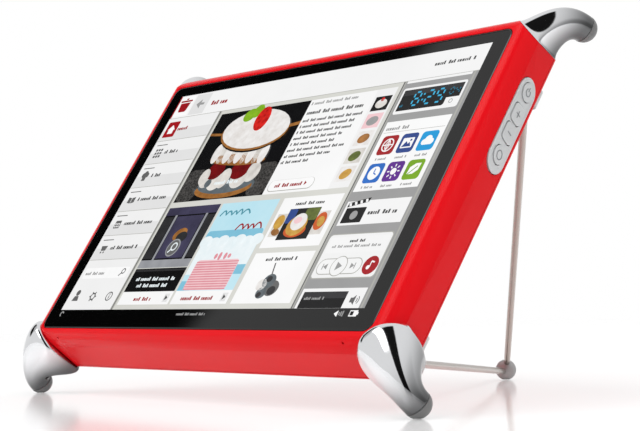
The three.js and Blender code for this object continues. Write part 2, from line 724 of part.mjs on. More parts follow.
boardScrewPlaces().forEach((p, i) => {
  add(`board_screw_${i + 1}`, screw(p.x, p.z, 11, 4.6, COVER_SCREW), PAINT.steel);
});
coverScrewPlaces().forEach((p, i) => {
  add(`cover_screw_${i + 1}`, screw(p.x, p.z, 23.9, 9.4, { ...COVER_SCREW, thick: 1 }), PAINT.steel);
});

for (const corner of CORNERS) {
  add(`foot_${corner.name}`, foot(corner), PAINT.chrome);
  add(`foot_cap_${corner.name}`, footCap(corner), PAINT.cap);
  add(`foot_screw_${corner.name}`, footScrew(corner), PAINT.steel);
}

for (const item of BRACKETS) {
  add(`stand_bracket_${item.name}`, bracket(item), PAINT.silver);
  add(`bracket_screw_${item.name}`, screw(HINGE.x, item.screw, BACK_Y + 3.7, 5.2, COVER_SCREW), PAINT.steel);
}
add('stand_upper_rod', wire(HINGE.high, BRACKETS[0].high - 1.2), PAINT.steel);
add('stand_lower_rod', wire(HINGE.low, BRACKETS[1].high - 1.2), PAINT.steel);
add('stand_ball_foot', ballFoot(), PAINT.silver);

// The origin is the middle of the whole footprint, on the surface that it stands on.
group.updateMatrixWorld(true);
const extent = new THREE.Box3().setFromObject(group, true);
const middle = extent.getCenter(new THREE.Vector3());
tablet.position.set(-middle.x, -middle.y, -extent.min.z);

export default group;
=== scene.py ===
"""The looks of a kitchen display tablet on four chrome horn feet and a folding wire leg.

Shapes are made in the tablet's own millimetres: X to the right across the screen, Y from the glass
towards the back, Z up along the screen, with the origin in the middle of the picture. PLACE then
carries them to where the CAD model holds the tablet.
"""

import json
import math

import bmesh
import bpy
from mathutils import Matrix, Vector


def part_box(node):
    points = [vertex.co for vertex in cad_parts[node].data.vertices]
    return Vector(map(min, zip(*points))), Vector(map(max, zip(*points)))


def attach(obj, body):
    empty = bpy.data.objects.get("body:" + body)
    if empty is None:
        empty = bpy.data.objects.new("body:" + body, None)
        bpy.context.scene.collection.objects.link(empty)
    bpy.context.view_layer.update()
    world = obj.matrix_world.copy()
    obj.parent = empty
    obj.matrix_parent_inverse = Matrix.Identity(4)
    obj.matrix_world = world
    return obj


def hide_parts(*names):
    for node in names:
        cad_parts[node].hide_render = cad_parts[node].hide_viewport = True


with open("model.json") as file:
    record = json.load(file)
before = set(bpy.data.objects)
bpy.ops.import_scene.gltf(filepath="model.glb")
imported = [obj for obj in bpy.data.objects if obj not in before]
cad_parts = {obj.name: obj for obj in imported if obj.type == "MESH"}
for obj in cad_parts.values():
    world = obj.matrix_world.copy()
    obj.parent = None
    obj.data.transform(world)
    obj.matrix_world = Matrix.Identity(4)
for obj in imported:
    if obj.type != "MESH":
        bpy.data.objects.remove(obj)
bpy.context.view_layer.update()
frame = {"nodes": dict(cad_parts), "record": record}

MM = 0.001
LEAN = math.radians(34.58)

# The sizes that shape the body, in millimetres. They are the CAD model's own.
GLASS = {"half": 120.6, "top": 71.5, "bottom": -75.4, "corner": 4.5, "thick": 1.1}
CREASE = {"half": 129.4, "top": 80.8, "bottom": -81.4, "y": 7.5}
BEVEL_TURN = math.radians(65)
SIDE_TAPER = 0.2667
BOTTOM_FLARE = 0.133
TOP_TAPER = 0.05
BACK_Y = 24.0
BACK_ROUND = 2.2
GAP = 0.3
CORNER_CUT = 135.3
CORNER_X = 0.641
CORNER_Z = 0.7675
CORNER_MIDDLE = 45.25
FOOT_BASE_Y = 12.3
LOWER_TIP = (23.5, 22.3, 3.4)     # how far out and back a foot's tip is, and how much its base swells
UPPER_TIP = (17.0, 23.4, -1.0)
UPPER_FLARE = 1.5
SWELL_SCALE = 4.2                 # brings the peak of the swelling curve to one
TIP_RADIUS = 5.8
TIP_TURN = math.radians(78)
FOOT_FLARE = 2.0
HINGE = Vector((116, 27, 0))
WIRE_HIGH = 47.8
WIRE_LOW = -72.9
BALL = Vector((0, 177.9, 13.7))
BALL_RADIUS = 5.15
WIRE_RADIUS = 1.6
WIRE_BEND = 4.5
WIRE_OFFSET = 0.9                 # how far each wire meets the ball beside its middle
WIRE_SIDES = 28
FACET = 0.3
STRIP_Y = 14.1
STRIP_Z = 31.0
KEY_PROUD = 0.95                  # how far the keys stand out from the side wall

glass_low, glass_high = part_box("touch_glass")
glass_middle = Vector((0, GLASS["thick"] / 2, (GLASS["top"] + GLASS["bottom"]) / 2)) * MM
TURN = Matrix.Rotation(-LEAN, 4, "X")
PLACE = Matrix.Translation((glass_low + glass_high) / 2 - TURN @ glass_middle) @ TURN @ Matrix.Scale(MM, 4)


# ---- camera, floor and light ----

CAMERA_AT = Vector((590.03, -350.48, -294.74))
CAMERA_RIGHT = Vector((0.63830, 0.64710, 0.41693))
CAMERA_AHEAD = Vector((-0.76838, 0.50287, 0.39587))
CAMERA_LENS = 93.68


def new_object(name, data):
    item = bpy.data.objects.new(name, data)
    bpy.context.scene.collection.objects.link(item)
    return item


def make_camera():
    data = bpy.data.cameras.new("camera")
    data.lens = CAMERA_LENS
    data.sensor_width = 36
    data.clip_start = 0.01
    ahead = (TURN.to_3x3() @ CAMERA_AHEAD).normalized()
    right = (TURN.to_3x3() @ CAMERA_RIGHT).normalized()
    up = right.cross(ahead).normalized()
    right = ahead.cross(up)
    axes = Matrix((right, up, -ahead)).transposed()
    camera = new_object("camera", data)
    camera.matrix_world = Matrix.Translation(PLACE @ CAMERA_AT) @ axes.to_4x4()
    bpy.context.scene.camera = camera


def fill(tree, node, inputs):
    """Gives each input of a node its plain value, or a link from another node's output."""
    for key, value in inputs.items():
        if isinstance(value, bpy.types.NodeSocket):
            tree.links.new(value, node.inputs[key])
        else:
            node.inputs[key].default_value = value


def add_node(tree, kind, inputs, **settings):
    node = tree.nodes.new("ShaderNode" + kind)
    for key, value in settings.items():
        setattr(node, key, value)
    fill(tree, node, inputs)
    return node


def shader(name):
    """A new node material, its tree and its main shader."""
    material = bpy.data.materials.new(name)
    material.use_nodes = True
    tree = material.node_tree
    return material, tree, tree.nodes["Principled BSDF"]


def blend_colors(tree, low, high, factor):
    """A colour that goes from one colour to another with a factor."""
    ramp = add_node(tree, "ValToRGB", {"Fac": factor})
    ramp.color_ramp.elements[0].color = (*low, 1)
    ramp.color_ramp.elements[1].color = (*high, 1)
    return ramp.outputs["Color"]


def noise(tree, scale, detail=3, rough=0.5):
    place = add_node(tree, "TexCoord", {}).outputs["Object"]
    inputs = {"Vector": place, "Scale": scale, "Detail": detail, "Roughness": rough}
    return add_node(tree, "TexNoise", inputs).outputs["Fac"]


def map_range(tree, value, from_min, from_max, to_min, to_max, kind="LINEAR"):
    """Carries a value from one range to another."""
    node = add_node(tree, "MapRange", {
        "Value": value,
        "From Min": from_min,
        "From Max": from_max,
        "To Min": to_min,
        "To Max": to_max,
    }, interpolation_type=kind)
    return node.outputs["Result"]


def rgb(code):
    """Linear colour from an ordinary hex code."""
    parts = [int(code[i:i + 2], 16) / 255 for i in (0, 2, 4)]
    return tuple(c / 12.92 if c <= 0.04045 else ((c + 0.055) / 1.055) ** 2.4 for c in parts)


def tinted(color, amount):
    return tuple(min(1.0, c * amount) for c in color)


GRAIN_HEIGHT = 0.2 * MM


def surface(name, code, rough, metal=0.0, spread=0.08, scale=60.0, grain=0.0, grain_scale=900.0,
            rough_spread=0.06, specular=0.5, ior=1.5):
    """A moulded, painted or metal surface: slight shifts of colour and gloss, and a fine grain."""
    material, tree, main = shader(name)
    color = rgb(code)
    drift = noise(tree, scale, 4)
    haze = noise(tree, scale * 3.1)
    fill(tree, main, {
        "Base Color": blend_colors(tree, tinted(color, 1 - spread), tinted(color, 1 + spread), drift),
        "Roughness": map_range(tree, haze, 0, 1, max(0.02, rough - rough_spread), rough + rough_spread),
        "Metallic": metal,
        "Specular IOR Level": specular,
        "IOR": ior,
    })
    if grain:
        ridges = {"Height": noise(tree, grain_scale, 2), "Strength": grain, "Distance": GRAIN_HEIGHT}
        fill(tree, main, {"Normal": add_node(tree, "Bump", ridges).outputs["Normal"]})
    return material


def glowing(name, code, shade, scale, cells=False):
    """A lit part of the screen behind polished glass, with its shade shifting across it."""
    material, tree, main = shader(name)
    if cells:
        place = add_node(tree, "TexCoord", {}).outputs["Object"]
        factor = add_node(tree, "TexVoronoi", {"Vector": place, "Scale": scale}).outputs["Distance"]
    else:
        factor = noise(tree, scale, 4, 0.6)
    fill(tree, main, {
        "Emission Color": blend_colors(tree, rgb(shade), rgb(code), factor),
        "Emission Strength": 1.0,
        "Base Color": (0.004, 0.004, 0.004, 1),
        "Roughness": 0.05,
        "IOR": 1.5,
        "Specular IOR Level": 0.2,
    })
    return material


def paint_dark_reflection_towards_back(material, near, far, least):
    """Paints a dark reflection into a finish's colour, deeper with distance behind the glass, in tablet
    millimetres.
    """
    tree = material.node_tree
    main = tree.nodes["Principled BSDF"]
    plain = main.inputs["Base Color"].links[0].from_socket
    row = PLACE.inverted().row[1]
    place = add_node(tree, "TexCoord", {}).outputs["Object"]
    along = add_node(tree, "VectorMath", {0: place, 1: row[:3]}, operation="DOT_PRODUCT").outputs["Value"]
    # The painted dark reflection: one at the front, falling to least far behind the glass.
    painted_reflection = map_range(tree, along, near - row[3], far - row[3], 1, least, "SMOOTHSTEP")
    # A colour mix takes its two colours at inputs 6 and 7 and gives its result at output 2.
    mix = add_node(tree, "Mix", {0: 1.0, 6: plain, 7: painted_reflection}, data_type="RGBA", blend_type="MULTIPLY")
    fill(tree, main, {"Base Color": mix.outputs[2]})


FLOOR_RADIUS = 2.6
FLOOR_FADE = (0.45, 1.3)          # where the floor starts to melt and where it is gone, in metres


def make_floor():
    """A pale polished table top whose far edge melts into the backdrop."""
    mesh = bpy.data.meshes.new("floor")
    grid = bmesh.new()
    bmesh.ops.create_circle(grid, cap_ends=True, segments=96, radius=FLOOR_RADIUS)
    grid.to_mesh(mesh)
    grid.free()
    floor = new_object("floor", mesh)
    material, tree, main = shader("floor")
    place = add_node(tree, "TexCoord", {}).outputs["Object"]
    away = add_node(tree, "VectorMath", {0: place}, operation="LENGTH").outputs["Value"]
    fill(tree, main, {
        "Base Color": blend_colors(tree, (0.9, 0.9, 0.9), (0.94, 0.94, 0.94), noise(tree, 8)),
        "Roughness": 0.12,
        "Emission Color": (1, 1, 1, 1),
        "Emission Strength": 0.12,
        "Alpha": map_range(tree, away, *FLOOR_FADE, 1, 0),
    })
    mesh.materials.append(material)
    floor.location.z = -0.2 * MM


# The studio round the tablet, in the tablet's own axes. Each patch is its brightness and the
# bands that bound it: direction, middle, half width and soft edge.
STUDIO = [
    (0.5, [((0.8, 0.5, -0.35), 1.0, 0.25, 0.35)]),
    (0.6, [((-0.77, -0.47, 0.42), 1.0, 0.02, 0.05)]),
    (0.0, [((0.4438, -0.8746, -0.195), -0.14, 0.14, 0.012), ((-0.82, -0.45, 0.35), 1.0, 0.045, 0.04)]),
    (4.5, [((0.553, 0.608, 0.57), -0.40, 0.12, 0.05), ((-0.05, -0.9, 0.41), 1.0, 0.08, 0.12)]),
    (0.01, [((0.553, 0.608, 0.57), 0.0, 0.19, 0.05), ((0.7, -0.7, 0.0), 1.0, 0.6, 0.15)]),
]


def make_world():
    """A white studio with soft dark and bright patches, plain white to the camera."""
    bpy.context.scene.view_settings.view_transform = "Standard"
    world = bpy.data.worlds.new("studio")
    bpy.context.scene.world = world
    world.use_nodes = True
    tree = world.node_tree
    tree.nodes.clear()
    place = add_node(tree, "TexCoord", {}).outputs["Generated"]

    def calculate(operation, a, b=0.0):
        return add_node(tree, "Math", {0: a, 1: b}, operation=operation).outputs[0]

    def inside(direction, centre, half, soft):
        """One inside a band of directions and zero outside it."""
        ahead = (PLACE.to_3x3() @ Vector(direction)).normalized()
        dot = add_node(tree, "VectorMath", {0: place, 1: ahead}, operation="DOT_PRODUCT").outputs["Value"]
        away = calculate("ABSOLUTE", calculate("SUBTRACT", dot, centre))
        return map_range(tree, away, half, half + soft, 1, 0, "SMOOTHSTEP")

    level = 1.0
    for bright, bands in STUDIO:
        share = 1.0
        for band in bands:
            share = calculate("MULTIPLY", share, inside(*band))
        level = calculate("ADD", level, calculate("MULTIPLY", share, calculate("SUBTRACT", bright, level)))
    studio = add_node(tree, "Background", {"Strength": level}).outputs[0]
    plain = add_node(tree, "Background", {"Color": (1, 1, 1, 1)}).outputs[0]
    seen = add_node(tree, "LightPath", {}).outputs["Is Camera Ray"]
    mix = add_node(tree, "MixShader", {"Fac": seen, 1: studio, 2: plain}).outputs[0]
    add_node(tree, "OutputWorld", {"Surface": mix})


LIGHT_AIM = Vector((0, 0, 0.08))


def area_light(name, at, size, power):
    """A soft rectangle of light, aimed at the middle of the tablet."""
    data = bpy.data.lights.new(name, "AREA")
    data.shape = "RECTANGLE"
    data.size, data.size_y = size
    data.energy = power
    light = new_object(name, data)
    light.location = at
    light.rotation_euler = (LIGHT_AIM - Vector(at)).to_track_quat("-Z", "Y").to_euler()
    light.visible_glossy = False


def make_lights():
    area_light("key", (1.3, -0.6, 1.3), (0.9, 0.9), 9)
    area_light("fill", (-0.6, -1.5, 0.9), (1.2, 0.8), 6)
    area_light("back", (0.5, 1.4, 1.0), (1.2, 0.8), 6)


make_camera()
make_floor()
make_world()
make_lights()


# ---- materials ----

RED = surface("red_shell", "D8121A", 0.2, spread=0.05, scale=35, grain=0.05, grain_scale=2500,
              specular=0.35, ior=1.2)
CHROME = surface("polished_chrome", "ECEDEF", 0.06, metal=1, spread=0.03, scale=25, grain=0.02,
                 grain_scale=1200, rough_spread=0.02)
# Painted dark reflection: the chrome's colour darkens towards the tips of the horns, far behind the glass.
paint_dark_reflection_towards_back(CHROME, near=4, far=21, least=0.16)
CAP = surface("grey_cap", "6E6E6E", 0.42, spread=0.08, scale=140, grain=0.25, grain_scale=5200)
WIRE = surface("steel_wire", "B6ADA6", 0.2, metal=1, spread=0.06, scale=90, grain=0.06, grain_scale=2600)
BALL_GREY = surface("ball_grey", "A4A4A4", 0.5, metal=0.3, spread=0.06, scale=150, grain=0.3,
                    grain_scale=6000)
SILVER = surface("silver_key", "CACCCD", 0.32, metal=0.35, spread=0.04, scale=120, grain=0.15,
                 grain_scale=7000)
GLYPH = surface("key_mark", "8A8D90", 0.45, metal=0.3, spread=0.06, scale=150)
SCREW = surface("steel_screw", "A0A0A0", 0.3, metal=1, spread=0.08, scale=220, grain=0.1, grain_scale=4000)
BLACK = surface("black_plastic", "161616", 0.5, spread=0.15, scale=90, grain=0.2, grain_scale=3000)
FOAM = surface("black_foam", "0C0C0C", 0.85, spread=0.3, scale=700, grain=0.6, grain_scale=6000)
ALLOY = surface("cast_alloy", "A2A6A8", 0.42, metal=0.9, spread=0.08, scale=80, grain=0.2, grain_scale=2500)
BOARD = surface("green_board", "1D5A32", 0.4, spread=0.25, scale=180, grain=0.2, grain_scale=1500)
CELL = surface("cell_wrap", "33476E", 0.45, spread=0.1, scale=60, grain=0.2, grain_scale=1500)
GLASS_BLACK = surface("black_glass", "050505", 0.04, spread=0.2, scale=20, rough_spread=0.01, ior=1.52)

FINISHES = (
    (RED, ("front_frame", "rear_cover")),
    (SILVER, ("button_panel", "power_button", "plus_button", "minus_button", "home_button",
              "stand_bracket_upper", "stand_bracket_lower")),
    (CELL, ("battery_pack",)),
    (BOARD, ("main_board", "button_board")),
    (ALLOY, ("chassis_plate", "processor_shield", "wifi_module", "lcd_panel")),
    (FOAM, ("display_gasket",)),
    (BLACK, ("display_ribbon", "power_inlet", "speaker_left", "speaker_right")),
)
CAD_FINISH = {node: finish for finish, nodes in FINISHES for node in nodes}


# ---- mesh helpers ----

def smooth_by_angle(mesh, degrees):
    for polygon in mesh.polygons:
        polygon.use_smooth = True
    edges = bmesh.new()
    edges.from_mesh(mesh)
    for edge in edges.edges:
        if len(edge.link_faces) == 2:
            edge.smooth = edge.calc_face_angle(0) < math.radians(degrees)
    edges.to_mesh(mesh)
    edges.free()


def piece(name, verts, faces, materials, body="housing", marks=None, smooth=35):
    """A finished piece from points in tablet millimetres. marks gives each face's material."""
    mesh = bpy.data.meshes.new(name)
    mesh.from_pydata([PLACE @ Vector(v) for v in verts], [], faces)
    for material in materials:
        mesh.materials.append(material)
    if marks:
        mesh.polygons.foreach_set("material_index", marks)
    shape = bmesh.new()
    shape.from_mesh(mesh)
    bmesh.ops.recalc_face_normals(shape, faces=shape.faces)
    shape.to_mesh(mesh)
    shape.free()
    smooth_by_angle(mesh, smooth)
    item = new_object(name, mesh)
    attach(item, body)
    return item


def skin(rings):
    """Points and faces over a stack of closed rings, with both ends filled."""
    count = len(rings[0])
    verts = [point for ring in rings for point in ring]
    faces = []
    for row in range(len(rings) - 1):
        for i in range(count):
            a = row * count + i
            b = row * count + (i + 1) % count
            faces.append((a, b, b + count, a + count))
    last = (len(rings) - 1) * count
    faces.append(tuple(range(count))[::-1])
    faces.append(tuple(range(last, last + count)))
    return verts, faces


def append(verts, faces, shape):
    """Adds a shape's points and faces to running lists of them."""
    start = len(verts)
    verts += shape[0]
    faces += [tuple(start + i for i in face) for face in shape[1]]


def polar(x, z, radius, angle):
    """The point at a distance and an angle, in radians, from x and z."""
    return (x + radius * math.cos(angle), z + radius * math.sin(angle))


def spokes(count):
    """Cosine and sine at even steps round a full turn."""
    return [polar(0, 0, 1, 2 * math.pi * i / count) for i in range(count)]


def rounded(x0, x1, z0, z1, radius, steps):
    """Points round a rectangle with an arc at each corner."""
    centres = ((x1 - radius, z0 + radius), (x1 - radius, z1 - radius), (x0 + radius, z1 - radius),
               (x0 + radius, z0 + radius))
    return [polar(*centre, radius, math.radians(90 * (corner - 1 + i / steps)))
            for corner, centre in enumerate(centres) for i in range(steps + 1)]


def stroke(start, end, width):
    """The four corners of a straight stroke."""
    (x0, z0), (x1, z1) = start, end
    half = width / 2 / math.hypot(x1 - x0, z1 - z0)
    nx, nz = (z0 - z1) * half, (x1 - x0) * half
    return [(x0 + nx, z0 + nz), (x1 + nx, z1 + nz), (x1 - nx, z1 - nz), (x0 - nx, z0 - nz)]


FLAT_AREA = 800 * MM * MM         # faces larger than this are flat walls
MERGE_ANGLE = math.radians(0.6)


def finish_cad(node, material, width):
    """A copy of a CAD node with its flat facets merged and its sharp edges softened."""
    mesh = frame["nodes"][node].data.copy()
    shape = bmesh.new()
    shape.from_mesh(mesh)
    bmesh.ops.remove_doubles(shape, verts=shape.verts, dist=1e-6)
    bmesh.ops.dissolve_limit(shape, angle_limit=MERGE_ANGLE, verts=shape.verts, edges=shape.edges)
    shape.to_mesh(mesh)
    shape.free()
    mesh.materials.clear()
    mesh.materials.append(material)
    item = new_object(node + "_finished", mesh)
    soften = item.modifiers.new("soften", "BEVEL")
    soften.width = width * MM
    soften.segments = 2
    soften.limit_method = "ANGLE"
    soften.angle_limit = math.radians(20)
    soften.use_clamp_overlap = True
    bpy.context.view_layer.update()
    graph = bpy.context.evaluated_depsgraph_get()
    final = bpy.data.meshes.new_from_object(item.evaluated_get(graph))
    item.modifiers.clear()
    item.data = final
    smooth_by_angle(final, 18)
    for polygon in final.polygons:
        if polygon.area > FLAT_AREA:
            polygon.use_smooth = False
    return item


# ---- the body's outline, as the CAD model makes it ----

def body_size(y):
    lip = (GLASS["half"] + GAP, GLASS["top"] + GAP, GLASS["bottom"] - GAP)
    crease = (CREASE["half"], CREASE["top"], CREASE["bottom"])
    if y < CREASE["y"]:
        angle = math.acos(1 - y / CREASE["y"] * (1 - math.cos(BEVEL_TURN)))
        share = math.sin(angle) / math.sin(BEVEL_TURN)
        return tuple(a + (b - a) * share for a, b in zip(lip, crease))
    run = y - CREASE["y"]
    rise = max(0.0, y - (BACK_Y - BACK_ROUND))
    inset = BACK_ROUND - math.sqrt(max(0.0, BACK_ROUND ** 2 - rise ** 2))
    return (crease[0] - SIDE_TAPER * run - inset, crease[1] - TOP_TAPER * run - inset,
            crease[2] - BOTTOM_FLARE * run + inset)


def corner_point(corner, out, y, across=0.0):
    """A point beside a corner: distance out from its flat, depth, and distance across."""
    x = CORNER_X * (CORNER_CUT + out) + CORNER_Z * (CORNER_MIDDLE + across)
    z = CORNER_Z * (CORNER_CUT + out) - CORNER_X * (CORNER_MIDDLE + across)
    return Vector((corner[0] * x, y, corner[1] * z))


def flat_outline(corner, steps=40):
    """The outline of the flat under a foot, as pairs of distance across and depth."""
    side_edge = []
    end_edge = []
    for i in range(steps + 1):
        y = (BACK_Y - 0.05) * (i / steps) ** 1.6
        half, top, bottom = body_size(y)
        height = top if corner[1] > 0 else -bottom
        painted_reflection = CORNER_X * half + CORNER_Z * height - CORNER_CUT
        if painted_reflection > 0.4:
            side = (half, height - painted_reflection / CORNER_Z)
            end = (half - painted_reflection / CORNER_X, height)
            side_edge.append((CORNER_Z * side[0] - CORNER_X * side[1] - CORNER_MIDDLE, y))
            end_edge.append((CORNER_Z * end[0] - CORNER_X * end[1] - CORNER_MIDDLE, y))
    return side_edge + end_edge[::-1]


def reach(outline, angle):
    """Distance from the middle of the flat to its outline in one direction."""
    ahead = Vector((math.cos(angle), math.sin(angle)))
    best = 0.0
    for i, start in enumerate(outline):
        a = Vector(start) - Vector((0, FOOT_BASE_Y))
        edge = Vector(outline[(i + 1) % len(outline)]) - Vector(start)
        scale = ahead.x * edge.y - ahead.y * edge.x
        if abs(scale) < 1e-9:
            continue
        along = (a.x * edge.y - a.y * edge.x) / scale
        share = (a.x * ahead.y - a.y * ahead.x) / scale
        if -1e-6 <= share <= 1 + 1e-6:
            best = max(best, along)
    return best


# ---- feet ----

FOOT_SIDES = 96
FOOT_STEPS = 56
CORNERS = {
    "lower_left": (-1, -1),
    "lower_right": (1, -1),
    "upper_left": (-1, 1),
    "upper_right": (1, 1),
}


def bezier(a, b, c, t):
    return a * (1 - t) ** 2 + b * (2 * t * (1 - t)) + c * t ** 2


def tip_of(corner):
    return LOWER_TIP if corner[1] < 0 else UPPER_TIP


def horn_rings(corner):
    """Rings from the flat to the tip of one horn, with a tiny rounding at both rims."""
    outline = flat_outline(corner)
    spans = [reach(outline, 2 * math.pi * i / FOOT_SIDES) for i in range(FOOT_SIDES)]
    tip_out, tip_y, swell = tip_of(corner)
    start = Vector((GAP * 0.5, FOOT_BASE_Y))
    end = Vector((tip_out - 0.1 * math.cos(TIP_TURN), tip_y - 0.1 * math.sin(TIP_TURN)))
    bend = Vector((end.x - (end.y - FOOT_BASE_Y) / math.tan(TIP_TURN), FOOT_BASE_Y))
    rings = []
    # Each ring's share of the way along the horn, and how far it is drawn in to round a rim.
    marks = [(0.0, 0.45), (0.0, 0.12), (0.006, 0.0)]
    marks += [(0.012 + 0.976 * i / FOOT_STEPS, 0.0) for i in range(FOOT_STEPS + 1)]
    marks += [(0.997, 0.05), (1.0, 0.22), (1.0, 0.5)]
    for t, inset in marks:
        place = bezier(start, bend, end, t)
        ahead = (bend - start) * (1 - t) + (end - bend) * t
        turn = math.atan2(ahead.y, ahead.x)
        flare = (1 - t) ** (FOOT_FLARE if corner[1] < 0 else UPPER_FLARE)
        puff = swell * SWELL_SCALE * math.sqrt(t) * (1 - t) ** 3
        ring = []
        for i, span in enumerate(spans):
            angle = 2 * math.pi * i / FOOT_SIDES
            radius = TIP_RADIUS + (span - TIP_RADIUS) * flare + puff - inset
            away = radius * math.sin(angle)
            ring.append(corner_point(corner, place.x - away * math.sin(turn),
                                     place.y + away * math.cos(turn), radius * math.cos(angle)))
        rings.append(ring)
    return rings


def tip_axis(corner):
    out = math.cos(TIP_TURN)
    axis = Vector((corner[0] * CORNER_X * out, math.sin(TIP_TURN), corner[1] * CORNER_Z * out))
    return axis.normalized()


def turned(profile, centre, axis, sides=72):
    """Points and faces of a shape turned about an axis. profile is pairs of radius and height."""
    axis = Vector(axis).normalized()
    across = axis.orthogonal().normalized()
    up = axis.cross(across)
    return skin([[centre + axis * height + (across * c + up * s) * radius for c, s in spokes(sides)]
                 for radius, height in profile])


def press_flat(verts, centre, radius):
    """Flattens a resting ball where it meets the surface that it stands on."""
    down = Vector((0, math.sin(LEAN), -math.cos(LEAN)))
    limit = radius - FACET
    return [v - down * max(0.0, (v - centre).dot(down) - limit) for v in verts]


def make_foot(name, corner):
    verts, faces = skin(horn_rings(corner))
    horn = piece("horn_" + name, verts, faces, [CHROME], smooth=50)
    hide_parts("foot_" + name)
    centre = corner_point(corner, *tip_of(corner)[:2])
    dome = TIP_RADIUS - 0.02
    profile = [(TIP_RADIUS - 0.7, 0.12), (TIP_RADIUS - 0.28, 0.16), (TIP_RADIUS - 0.07, 0.32)]
    profile += [polar(0.0001, 0, dome, math.pi / 2 * i / 25) for i in range(1, 25)]
    profile.append((0.05, dome))
    verts, faces = turned(profile, centre, tip_axis(corner))
    if corner[1] < 0:
        verts = press_flat(verts, centre, TIP_RADIUS)
    cap = piece("cap_" + name, verts, faces, [CAP], smooth=50)
    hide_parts("foot_cap_" + name)


for corner_name, corner_signs in CORNERS.items():
    make_foot(corner_name, corner_signs)


# ---- wire leg ----

def wire_end(corner_z):
    bend = Vector((HINGE.x, HINGE.y, corner_z))
    other = Vector((HINGE.x, HINGE.y, WIRE_LOW if corner_z > 0 else WIRE_HIGH))
    along = (BALL - bend).normalized()
    apart = bend - other
    apart = (apart - along * apart.dot(along)).normalized()
    aim = BALL + apart * WIRE_OFFSET
    return bend, aim, (aim - bend).normalized()


def make_wire(name, node, corner_z, pin_z):
    bend, aim, along = wire_end(corner_z)
    start = bend + Vector((0, 0, WIRE_BEND))
    leave = bend + along * WIRE_BEND
    path = [Vector((HINGE.x, HINGE.y, pin_z)), Vector((HINGE.x, HINGE.y, (pin_z + start.z) / 2))]
    path += [bezier(start, bend, leave, i / 10) for i in range(11)]
    path += [leave + (aim - along * 3 - leave) * (i / 24) for i in range(1, 25)]
    rings = []
    side = Vector((1, 0, 0))
    for i, point in enumerate(path):
        ahead = (path[min(i + 1, len(path) - 1)] - path[max(i - 1, 0)]).normalized()
        side = (side - ahead * side.dot(ahead)).normalized()
        up = ahead.cross(side)
        radius = WIRE_RADIUS - (0.3 if i in (0, len(path) - 1) else 0)
        rings.append([point + (side * c + up * s) * radius for c, s in spokes(WIRE_SIDES)])
    verts, faces = skin(rings)
    wire = piece(name, verts, faces, [WIRE], body="stand", smooth=50)
    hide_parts(node)


def make_ball():
    profile = [polar(0, 0, BALL_RADIUS, math.pi * ((i + 0.2) / 40.4 - 0.5)) for i in range(41)]
    verts, faces = turned(profile, BALL, Vector((0, 0, 1)))
    verts = press_flat(verts, BALL, BALL_RADIUS)
    ball = piece("leg_ball", verts, faces, [BALL_GREY], body="stand", smooth=50)
    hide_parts("stand_ball_foot")


make_wire("upper_wire", "stand_upper_rod", WIRE_HIGH, 59.3)
make_wire("lower_wire", "stand_lower_rod", WIRE_LOW, -61.5)
make_ball()


# ---- housing, keys and brackets, from the CAD solids ----

BODIES = frame["record"]["behaviour"]["bodies"]
BODY_OF = {node: body for body, nodes in BODIES.items() for node in nodes}
SHELL_EDGE = 0.35                 # widths of the softened edges, in millimetres
SMALL_EDGE = 0.3
SOFTENED = {node: SHELL_EDGE if finish is RED else SMALL_EDGE
            for node, finish in CAD_FINISH.items() if finish in (RED, SILVER)}

for node, width in SOFTENED.items():
    item = finish_cad(node, CAD_FINISH[node], width)
    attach(item, BODY_OF[node])
    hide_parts(node)

for node, item in frame["nodes"].items():
    finish = CAD_FINISH.get(node, SCREW)
    item.data.materials.clear()
    item.data.materials.append(finish)


# ---- the picture on the screen: thin lit layers on polished black glass ----

LAYER = 0.04                      # thickness of one layer of the picture, in millimetres
SIDES = (-111.3, 111.3)           # left and right edge of the picture
CONTENT = (-65.2, 50.5)           # bottom and top of the picture below its header


